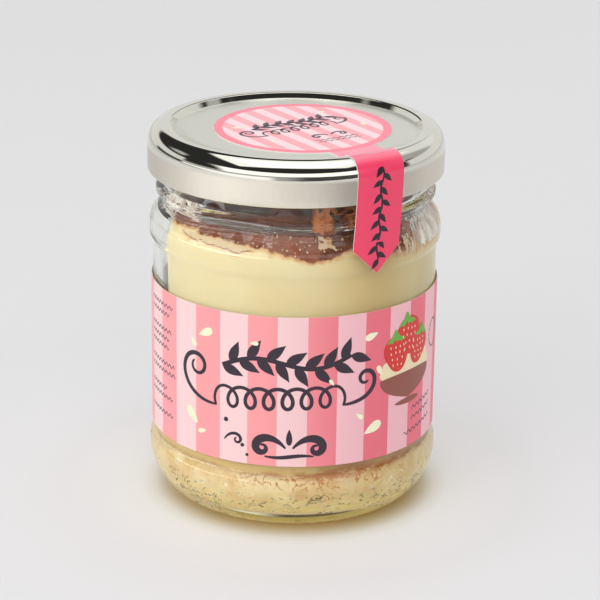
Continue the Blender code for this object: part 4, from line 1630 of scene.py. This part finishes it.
def baked_cream(cream, biscuit):
    """Smooth baked cream below, browned crust above; bake_and_shadow says how browned a point is, and also
    holds the painted shadow under the dry ridge.
    """
    finish, web, shader = painted("baked_cream")
    place = web.place()
    cloud = web.noise(place, 70.0, 3.0, 0.5)
    speck = web.noise(place, 1000.0, 3.0, 0.6)
    shade = web.mix(web.ramp(cloud, 0.35, 0.75), cream.pale, cream.deep)
    azimuth = web.azimuth(place)
    front = front_half(web, azimuth)
    # Painted shade: the cream is painted darker and warmer towards the right of the front.
    paler = web.line(web.ramp(azimuth, 38.0, 58.0), -0.7, 1.0)
    warm_and_painted_shade = web.product(web.ramp(azimuth, 0.0, 36.0), paler, front)
    shade = web.mix(web.product(warm_and_painted_shade, 0.9), shade, cream.warm_and_painted_shade)
    height = web.parts(place)["Z"]
    shade = web.mix(web.product(web.ramp(height, 21 * MM, 17 * MM), 0.85), shade, cream.warm_and_painted_shade)
    brown = web.product(web.ramp(height, 20 * MM, 17.5 * MM), web.ramp(azimuth, 12.0, 44.0), front, 0.4)
    shade = web.mix(brown, shade, cream.tan)
    gold = web.product(web.ramp(height, 20 * MM, 17.5 * MM), web.ramp(azimuth, 24.0, 5.0), front, 0.85)
    shade = web.mix(gold, shade, cream.gold)
    shade = web.mix(web.product(web.ramp(speck, 0.66, 0.78), 0.2), shade, cream.tan)
    patch = web.noise(place, 260.0, 4.0, 0.6)
    # Darker crust: a patch on the right and random patches, and painted shade that darkens the crust on the
    # left of the front.
    dark = web.product(web.ramp(azimuth, 10.0, 18.0), web.ramp(azimuth, 36.0, 27.0), 0.6)
    dark = web.larger(dark, web.product(web.ramp(azimuth, -13.0, -24.0), front, 0.5))
    dark = web.larger(dark, web.ramp(patch, 0.46, 0.74))
    crust = web.mix(dark, cream.crust, cream.burnt)
    fine = web.noise(place, 700.0, 4.0, 0.65)
    share = web.plus(web.attribute("bake_and_shadow"), web.product(web.minus(fine, 0.5), 0.4))
    browned = web.ramp(share, 0.45, 0.72)
    shade = web.mix(web.product(web.ramp(share, 0.05, 0.5), 0.9), shade, cream.tan)
    shade = web.mix(browned, shade, crust)
    shade = web.mix(web.product(web.attribute("toast"), 0.9), shade, biscuit.toast)
    flaky = web.product(web.attribute("dry"), web.ramp(fine, 0.3, 0.5))
    web.give(shader, {
        "Base Color": web.mix(flaky, shade, cream.dry),
        "Roughness": web.plus(0.42, web.product(browned, 0.3)),
        "Normal": web.bump(web.product(fine, browned), 0.4, 0.3 * MM),
        "Specular IOR Level": 0.3,
        "Subsurface Weight": 0.3,
        "Subsurface Radius": (3.0 * MM, 2.0 * MM, 1.0 * MM),
        "Subsurface Scale": 1.0,
    })
    return finish


def make_cream(cream, biscuit, glass):
    """The cream: even and smooth below, with crags, dents and a browned skin at the top."""
    sides = cream.sides
    wall = glass_inside(glass)
    lift = 0.02 * MM
    rings = [[Vector((0, 0, seam_height(biscuit, 0, 0) + lift))]]
    rings += [seam_ring(biscuit, glass, sides, share, lift) for share in (0.4, 0.7, 0.9, 0.985)]
    levels = [0.0, 0.4, 0.9, 1.5, 2.2, 3.0] + [4.4 + 3.2 * i for i in range(14)]
    brim, rim = 66.5, cream.edge / MM
    heights = [biscuit.seam / MM + level for level in levels if biscuit.seam / MM + level < brim]
    heights += [brim + (rim - brim) * i / 54 for i in range(55)]
    for row, height in enumerate(heights):
        ring = []
        for i in range(sides):
            azimuth = 360 * i / sides
            way = heading(azimuth)
            high = height * MM
            if row < 6:
                edge = way * glass.inner_radius
                high += (seam_height(biscuit, edge.x, edge.y) - biscuit.seam) * (1 - row / 6)
            if height > brim:
                left = hump(from_behind(azimuth + 62), 0, 30)
                uneven = (1.9 * left + 0.7 * noise.noise(way * 5.0)) * MM
                high += uneven * (height - brim) / (rim - brim)
            out = level_at(wall, high) + REACH - drawn_back(cream, azimuth, high)
            spot = spot_at(azimuth, out, high)
            near = browning(azimuth, high)
            wave = noise.noise(spot / (3.4 * MM)) + 0.5 * noise.noise(spot / (1.3 * MM))
            ridge, under = dry_ridge(azimuth, high)
            dent = ease(-0.35, 0.5, wave) * near * near * (1 - ridge) + 0.5 * under
            ring.append(spot_at(azimuth, out - dent * 1.15 * MM, high))
        rings.append(ring)
    edge = rings[-1]
    for share in (0.985, 0.96, 0.92, 0.86, 0.78, 0.66, 0.5, 0.3):
        ring = []
        for point in edge:
            spot = Vector((point.x * share, point.y * share, 0.0))
            crag = 0.9 * noise.noise(spot / (7 * MM)) + 0.5 * noise.noise(spot / (2.6 * MM))
            fade = ease(1.0, 0.95, share) if share > 0.95 else 1.0
            level = point.z + (cream.top - point.z) * (1 - ease(0.6, 1.0, share))
            ring.append(Vector((spot.x, spot.y, level + crag * MM * fade)))
        rings.append(ring)
    rings.append([Vector((0, 0, cream.top))])
    bm = bmesh.new()
    bake_and_shadow, dry, toast = (bm.verts.layers.float.new(name) for name in ("bake_and_shadow", "dry", "toast"))
    stacked(bm, rings)
    for vert in bm.verts:
        azimuth = azimuth_of(vert.co)
        wave = noise.noise(vert.co / (3.0 * MM)) + 0.5 * noise.noise(vert.co / (1.0 * MM))
        ridge, under = dry_ridge(azimuth, vert.co.z)
        # The painted shadow under the ridge is kept in the same attribute as the browning.
        vert[bake_and_shadow] = max(browning(azimuth, vert.co.z + wave * 0.8 * MM), under)
        vert[dry] = ridge if math.hypot(vert.co.x, vert.co.y) > 30 * MM else 0.0
        vert[toast] = toasted(*vert.co, seam_height(biscuit, vert.co.x, vert.co.y))
    item = shaped("baked_cheesecake", bm, baked_cream(cream, biscuit))
    return placed(item, "baked_cream", "cheesecake")


def smear_cells(reach, seed, stretch, cut, step):
    """The grid cells of one smear on the glass, as {(column, row): share of full thickness}."""
    west, east, low, high = reach
    wide = math.radians(east - west) * 32.0
    columns, rows = int(wide / step), int((high - low) / step)
    cells = {}
    for column in range(columns):
        for row in range(rows):
            across, up = (column + 0.5) / columns, (row + 0.5) / rows
            spot = Vector((across * wide, up * (high - low), seed))
            warp = 1.6 * noise.noise(spot / 5.0)
            spot = Vector(((spot.x + warp) / stretch[0], spot.y / stretch[1], seed))
            value = noise.noise(spot) + 0.55 * noise.noise(spot * 2.3) + 0.3 * noise.noise(spot * 5.1)
            fade = min(ease(*edges, share) for share in (across, up) for edges in ((0.0, 0.25), (1.0, 0.75)))
            value -= cut + 0.9 * (1 - fade)
            if value > 0:
                cells[column, row] = min(value * 2.5, 1.0)
    for column, row in list(cells):
        for side in (-1, 1):
            corner_cell = (column + side, row + 1)
            if corner_cell in cells and (column + side, row) not in cells and (column, row + 1) not in cells:
                cells[column, row + 1] = 0.1
    return cells, columns, rows


def add_smear(bm, glass, reach, seed, stretch, cut, thick, step):
    """Lays one smear on the inside of the glass, as thin closed patches that reach just into the wall."""
    wall = glass_inside(glass)
    cells, columns, rows = smear_cells(reach, seed, stretch, cut, step)
    west, east, low, high = reach
    corners = {}

    def vertex(column, row, face):
        if (column, row, face) not in corners:
            azimuth = west + (east - west) * column / columns
            height = (low + (high - low) * row / rows) * MM
            around = [cells.get((column - i, row - j), 0.0) for i in (0, 1) for j in (0, 1)]
            out = REACH * 1.6 if face else -thick * (0.15 + sum(around) / 4)
            corners[column, row, face] = bm.verts.new(spot_at(azimuth, level_at(wall, height) + out, height))
        return corners[column, row, face]

    for column, row in cells:
        loop = ((column, row), (column + 1, row), (column + 1, row + 1), (column, row + 1))
        bm.faces.new([vertex(*point, 1) for point in loop])
        bm.faces.new([vertex(*point, 0) for point in reversed(loop)])
        beside = ((column, row - 1), (column + 1, row), (column, row + 1), (column - 1, row))
        for i in range(4):
            if beside[i] not in cells:
                start, end = loop[i], loop[(i + 1) % 4]
                bm.faces.new((vertex(*end, 1), vertex(*start, 1), vertex(*start, 0), vertex(*end, 0)))


def smear_finish(name, light, dark):
    """Dried cream on the glass, in two tones."""
    finish, web, shader = painted(name)
    place = web.place()
    tone = web.noise(place, 420.0, 4.0, 0.6, stretch=(1.0, 1.0, 0.35))
    web.give(shader, {
        "Base Color": web.mix(web.ramp(tone, 0.4, 0.62), light, dark),
        "Roughness": web.plus(0.4, web.product(tone, 0.3)),
        "Specular IOR Level": 0.3,
    })
    return finish


def make_smears(cream, glass):
    """Smears that the cream has left on the glass as it rose and sank in the oven; the palest are also
    painted highlights.
    """
    # Each patch: reach (west, east, low, high), seed, stretch, cut, thickness and cell, in degrees and mm
    pale = (
        ((42, 62, 68.0, 73.6), 3.0, (1.0, 3.2), 0.02, 0.35, 0.24),
        ((8.5, 17.5, 72.6, 76.0), 2.0, (1.1, 1.4), -0.32, 0.35, 0.18),
    )
    # The palest smears: dried film on the glass, whitened as painted highlights for glints.
    haze = (
        ((52, 92, 68.8, 77.6), 9.0, (0.75, 3.4), -0.3, 0.2, 0.18),
        ((58, 90, 69.3, 75.5), 31.0, (0.6, 2.0), -0.1, 0.2, 0.18),
        ((-74, -42, 76.4, 80.6), 21.0, (2.4, 0.9), -0.45, 0.12, 0.16),
        ((-86, -58, 73.5, 79.0), 8.0, (0.35, 0.45), 0.2, 0.12, 0.14),
    )
    brown = (
        ((6.5, 19.5, 75.2, 84.6), 5.0, (1.7, 2.6), -0.4, 0.25, 0.18),
        ((15, 46, 77.0, 84.0), 7.0, (3.4, 0.5), 0.0, 0.2, 0.18),
    )
    smears = (
        ("pale_smears", pale, smear_finish("pale_smear", cream.dry, cream.tan)),
        ("haze_smears", haze, smear_finish("haze", cream.haze, screen(200, 181, 166))),
        ("brown_smears", brown, smear_finish("brown_smear", cream.rust, cream.crust)),
    )
    for name, patches, finish in smears:
        bm = bmesh.new()
        for reach, seed, stretch, cut, thick, step in patches:
            add_smear(bm, glass, reach, seed, stretch, cut, thick * MM, step)
        placed(shaped(name, bm, finish), "baked_cream")


def crumb_tree():
    """Strews crumbs of random size and turn over a surface, and leaves the surface out."""
    sockets = {"Density": "Float", "Size": "Float", "Seed": "Int", "Finish": "Material"}
    tree, web, given = geometry_tree("strewn crumbs", sockets)
    inputs = {"Mesh": given["Geometry"], "Seed": given["Seed"], "Density": given["Density"]}
    points = web.add("GeometryNodeDistributePointsOnFaces", inputs).outputs["Points"]
    inputs = {"Radius": given["Size"], "Subdivisions": 2}
    crumb = web.add("GeometryNodeMeshIcoSphere", inputs).outputs["Mesh"]
    position = web.add("GeometryNodeInputPosition").outputs[0]
    lump = web.line(web.noise(position, 2600.0, 2.0, 0.6), 1.6, 0.2)
    inputs = {"Geometry": crumb, "Position": web.vector("SCALE", position, lump)}
    crumb = web.add("GeometryNodeSetPosition", inputs).outputs[0]
    sizes = {0: (0.35, 0.3, 0.35), 1: (1.2, 0.8, 1.1), "Seed": given["Seed"]}
    scale, turn = (
        web.add("FunctionNodeRandomValue", limits, data_type="FLOAT_VECTOR").outputs[0]
        for limits in (sizes, {1: (math.tau, math.tau, math.tau)})
    )
    inputs = {"Points": points, "Instance": crumb, "Scale": scale, "Rotation": turn}
    strewn = web.add("GeometryNodeInstanceOnPoints", inputs).outputs[0]
    end_tree(web, strewn, given["Finish"])
    return tree


def make_crumbs(cream, glass):
    """Pale crumbs that cling to the glass in front of the crust."""
    wall = glass_inside(glass)
    columns, rows = 60, 14
    west, east = -24, 38
    points, faces = [], []
    for row in range(rows + 1):
        for column in range(columns + 1):
            azimuth = west + (east - west) * column / columns
            height = (read_off(CRUST_LINE, azimuth) / MM + 0.2 + 4.8 * row / rows) * MM
            points.append(spot_at(azimuth, level_at(wall, height) + 0.08 * MM, height))
    for row in range(rows):
        for column in range(columns):
            first = row * (columns + 1) + column
            faces.append((first, first + 1, first + columns + 2, first + columns + 1))
    mesh = bpy.data.meshes.new("crumb_field")
    mesh.from_pydata(points, [], faces)
    item = linked("pale_crumbs", mesh)
    finish = smear_finish("pale_crumb", tuple(min(c * 1.05, 1.0) for c in cream.dry), cream.dry)
    item = baked(with_tree(item, crumb_tree(), Density=3.2e5, Size=0.26 * MM, Seed=4, Finish=finish))
    item.data.shade_smooth()
    return placed(item, "baked_cream")


class JarcakeBiscuit(bpy.types.Operator):
    """Builds the biscuit layer"""

    bl_idname = "jarcake.biscuit"
    bl_label = "Biscuit layer"

    def execute(self, context):
        jar = context.scene.cheesecake_jar
        make_biscuit(jar.biscuit, jar.glass)
        return {"FINISHED"}


class JarcakeCream(bpy.types.Operator):
    """Builds the baked cream and what it has left on the glass"""

    bl_idname = "jarcake.cream"
    bl_label = "Baked cream"

    def execute(self, context):
        jar = context.scene.cheesecake_jar
        make_cream(jar.cream, jar.biscuit, jar.glass)
        make_smears(jar.cream, jar.glass)
        make_crumbs(jar.cream, jar.glass)
        return {"FINISHED"}


def add_lamp(name, azimuth, elevation, distance, size, power, reflected=False):
    """A soft area lamp at a place on a sphere round the jar, aimed at its middle."""
    middle = Vector((0, 0, 0.05))
    lamp = bpy.data.lights.new(name, "AREA")
    lamp.shape = "RECTANGLE"
    lamp.size, lamp.size_y = size
    lamp.energy = power
    item = linked(name, lamp)
    rise = math.radians(elevation)
    way = heading(azimuth) * math.cos(rise) + Vector((0, 0, math.sin(rise)))
    item.location = middle + way * distance
    item.rotation_euler = way.to_track_quat("Z", "Y").to_euler()
    item.visible_glossy = reflected
    return item


def soft_band(web, value, low, high, soft):
    """1 between low and high, with soft edges."""
    return web.product(web.ramp(value, low - soft, low + soft), web.ramp(value, high + soft, high - soft))


def studio_world():
    """A pale room for soft light. Mirrors see its parts: wall, overhead box, front strip and dark gaps."""
    world = bpy.data.worlds.new("soft_room")
    bpy.context.scene.world = world
    world.use_nodes = True
    web = Web(world.node_tree)
    x, y, z = web.parts(web.add("ShaderNodeTexCoord").outputs["Generated"]).values()
    left = web.product(x, -1.0)
    behind = web.ramp(y, 0.04, 0.14)
    before = web.minus(1.0, behind)

    above = web.ramp(z, 0.29, 0.35)
    sill = web.product(soft_band(web, z, -0.12, 0.1, 0.03), web.ramp(left, 0.7, 0.78))
    wall = web.product(behind, web.minus(1.0, above), web.line(sill, -0.78, 0.83))
    over = web.larger(z, 0.05)
    across, along = web.ratio(x, over), web.ratio(y, over)
    slant = web.line(along, -0.28, across)
    box = web.product(web.ramp(z, 0.3, 0.4), soft_band(web, along, -0.56, 1.0, 0.05))
    box = web.product(box, web.ramp(slant, -0.66, -0.58), web.ramp(across, 0.75, 0.6))
    right = web.product(behind, above, web.ramp(x, 0.02, 0.2), web.minus(1.0, box), web.ramp(x, 0.93, 0.88))
    right = web.product(right, web.line(web.ramp(x, 0.55, 0.7), -0.45, 0.9))
    east = web.product(web.ramp(x, 0.7, 0.8), soft_band(web, y, -0.14, 0.1, 0.05), web.ramp(z, 0.3, 0.36))
    patch = web.product(web.ramp(left, 0.68, 0.78), soft_band(web, z, 0.42, 0.56, 0.04))
    patch = web.product(patch, web.ramp(y, 0.15, 0.27), 0.55)
    strip = web.product(before, soft_band(web, z, 0.16, 0.47, 0.02))
    strip = web.product(strip, web.ramp(left, 0.88, 0.78), web.ramp(x, 0.85, 0.7), 1.5)
    table = web.product(web.ramp(left, 0.2, 0.38), web.ramp(z, 0.08, 0.01), 0.9)
    shaded = web.line(web.ramp(left, -0.2, 0.2), 0.4, -0.35)
    low = web.line(web.ramp(z, -0.24, -0.16), shaded, 0.4)
    low = web.product(before, web.ramp(z, 0.19, 0.15), web.plus(table, low))
    room = 0.03
    for part in (wall, web.product(box, 1.3), right, web.product(east, 0.5), patch, strip, low):
        room = web.plus(room, part)

    plain = web.mix(before, (0.86, 0.86, 0.87), (0.6, 0.6, 0.61))
    path = web.add("ShaderNodeLightPath")
    plain = web.mix(path.outputs["Is Camera Ray"], plain, (1.0, 1.0, 1.0))
    mirror = path.outputs["Is Glossy Ray"]
    shader = world.node_tree.nodes["Background"]
    web.give(shader, {"Color": web.mix(mirror, plain, room), "Strength": 0.92})


# Colours of the floor round the jar: a painted glow under the jar and a painted shadow round the foot in the
# cake's colour, as (radius in millimetres, colour on a screen)
FLOOR_PAINTED_LIGHT_AND_SHADOW = (
    (25.8, (255, 248, 224)), (27.0, (160, 130, 80)), (27.8, (172, 141, 92)), (29.2, (187, 162, 116)),
    (31.5, (204, 188, 156)), (33.9, (223, 215, 201)), (36.2, (239, 237, 233)), (39.6, (246, 247, 246)),
    (60.0, (233, 234, 234)), (120.0, (229, 229, 229)),
)


def pale_floor(studio):
    """The floor's matt board, with a painted shadow in the cake's colour and a painted glow round the foot,
    and painted light that makes it lighter further back.
    """
    finish, web, shader = painted("pale_board")
    place = web.place()
    reach = web.vector("DISTANCE", place, (0.8 * MM, 0.0, 0.0))
    low, high = FLOOR_PAINTED_LIGHT_AND_SHADOW[0][0] * MM, FLOOR_PAINTED_LIGHT_AND_SHADOW[-1][0] * MM
    rings = web.add("ShaderNodeValToRGB", {"Fac": web.ratio(web.minus(reach, low), high - low)})
    stops = rings.color_ramp.elements
    while len(stops) < len(FLOOR_PAINTED_LIGHT_AND_SHADOW):
        stops.new(1.0)
    for stop, (radius, shade) in zip(stops, FLOOR_PAINTED_LIGHT_AND_SHADOW):
        stop.position = (radius * MM - low) / (high - low)
        stop.color = opaque(screen(*shade))
    # Painted light: the floor's colour grows lighter from the front to the back.
    depth = web.ramp(web.parts(place)["Y"], -0.15, 0.9)
    level = web.line(depth, studio.far - studio.near, studio.near)
    shade = web.vector("SCALE", rings.outputs["Color"], level)
    speck = web.noise(place, 500.0, 3.0)
    web.give(shader, {
        "Base Color": web.mix(web.product(speck, 0.03), shade, screen(200, 200, 198)),
        "Roughness": web.plus(0.45, web.product(speck, 0.1)),
        "Specular IOR Level": 0.35,
    })
    return finish


def group_of(name):
    """A collection with one piece in it, for a lamp that lights this piece only."""
    group = bpy.data.collections.new(name + "_only")
    group.objects.link(bpy.data.objects[name])
    return group


def make_studio(studio):
    """Camera, floor, room and lamps. One lamp stands for the light that the glass foot gathers."""
    reach, front = 6.0, -0.5
    mesh = bpy.data.meshes.new("floor")
    corners = [(-reach, front, 0), (reach, front, 0), (reach, reach, 0), (-reach, reach, 0)]
    mesh.from_pydata(corners, [], [(0, 1, 2, 3)])
    linked("floor", mesh, pale_floor(studio))

    data = bpy.data.cameras.new("camera")
    data.lens = studio.lens
    data.sensor_width = 36.0
    data.clip_start = 0.01
    camera = linked("camera", data)
    rise, roll = math.radians(studio.elevation), math.radians(studio.roll)
    back = Vector((0, -math.cos(rise), math.sin(rise)))
    right, up = Vector((1, 0, 0)), Vector((0, math.sin(rise), math.cos(rise)))
    rolled_right = right * math.cos(roll) + up * math.sin(roll)
    rolled_up = up * math.cos(roll) - right * math.sin(roll)
    turn = Matrix((rolled_right, rolled_up, back)).transposed()
    place = Matrix.Translation((studio.camera_x, studio.camera_y, studio.camera_z))
    camera.matrix_world = place @ turn.to_4x4()
    bpy.context.scene.camera = camera

    studio_world()
    add_lamp("key", -60, 19, 0.95, (1.6, 0.15), 3.6)
    add_lamp("top", 0, 88, 1.3, (1.0, 1.0), 4.0, reflected=True)
    add_lamp("front", -12, 46, 1.3, (1.4, 0.8), 4.5)
    add_lamp("fill", 66, 14, 0.9, (0.7, 0.5), 1.1)
    streak = add_lamp("streak", -60, 4, 0.95, (1.6, 0.15), 2.6, reflected=True)
    streak.light_linking.receiver_collection = group_of("glass_jar")
    gathered = add_lamp("gathered", 0, -76, 0.5, (0.6, 0.6), 3.0)
    gathered.light_linking.receiver_collection = group_of("biscuit_layer")
    gathered.light_linking.blocker_collection = gathered.light_linking.receiver_collection
    bpy.context.scene.view_settings.view_transform = "Standard"
    bpy.context.scene.view_settings.look = "None"


class JarcakeStudio(bpy.types.Operator):
    """Builds the floor, the lamps and the camera"""

    bl_idname = "jarcake.studio"
    bl_label = "Soft studio"

    def execute(self, context):
        make_studio(context.scene.cheesecake_jar.studio)
        return {"FINISHED"}


OPERATORS = (JarcakeJar, JarcakeLid, JarcakeLabel, JarcakeSeal, JarcakeBiscuit, JarcakeCream, JarcakeStudio)


class JarcakePanel(bpy.types.Panel):
    """Lists the pieces of the cheesecake jar"""

    bl_idname = "VIEW3D_PT_jarcake"
    bl_label = "Cheesecake jar"
    bl_space_type = "VIEW_3D"
    bl_region_type = "UI"
    bl_category = "Cheesecake"

    def draw(self, context):
        for kind in OPERATORS:
            self.layout.operator(kind.bl_idname)
        jar = context.scene.cheesecake_jar
        for name, kind in SETTINGS.items():
            box = self.layout.box()
            box.label(text=name.capitalize())
            for key in kind.__annotations__:
                box.prop(getattr(jar, name), key)


CLASSES = (*SETTINGS.values(), CheesecakeJar, *OPERATORS, JarcakePanel)


def register():
    for kind in CLASSES:
        bpy.utils.register_class(kind)
    bpy.types.Scene.cheesecake_jar = PointerProperty(type=CheesecakeJar)


def unregister():
    del bpy.types.Scene.cheesecake_jar
    for kind in reversed(CLASSES):
        bpy.utils.unregister_class(kind)


def main():
    """Builds every piece."""
    register()
    pieces = bpy.ops.jarcake
    pieces.jar()
    pieces.lid()
    pieces.label()
    pieces.seal()
    pieces.biscuit()
    pieces.cream()
    pieces.studio()


if __name__ == "__main__":
    main()
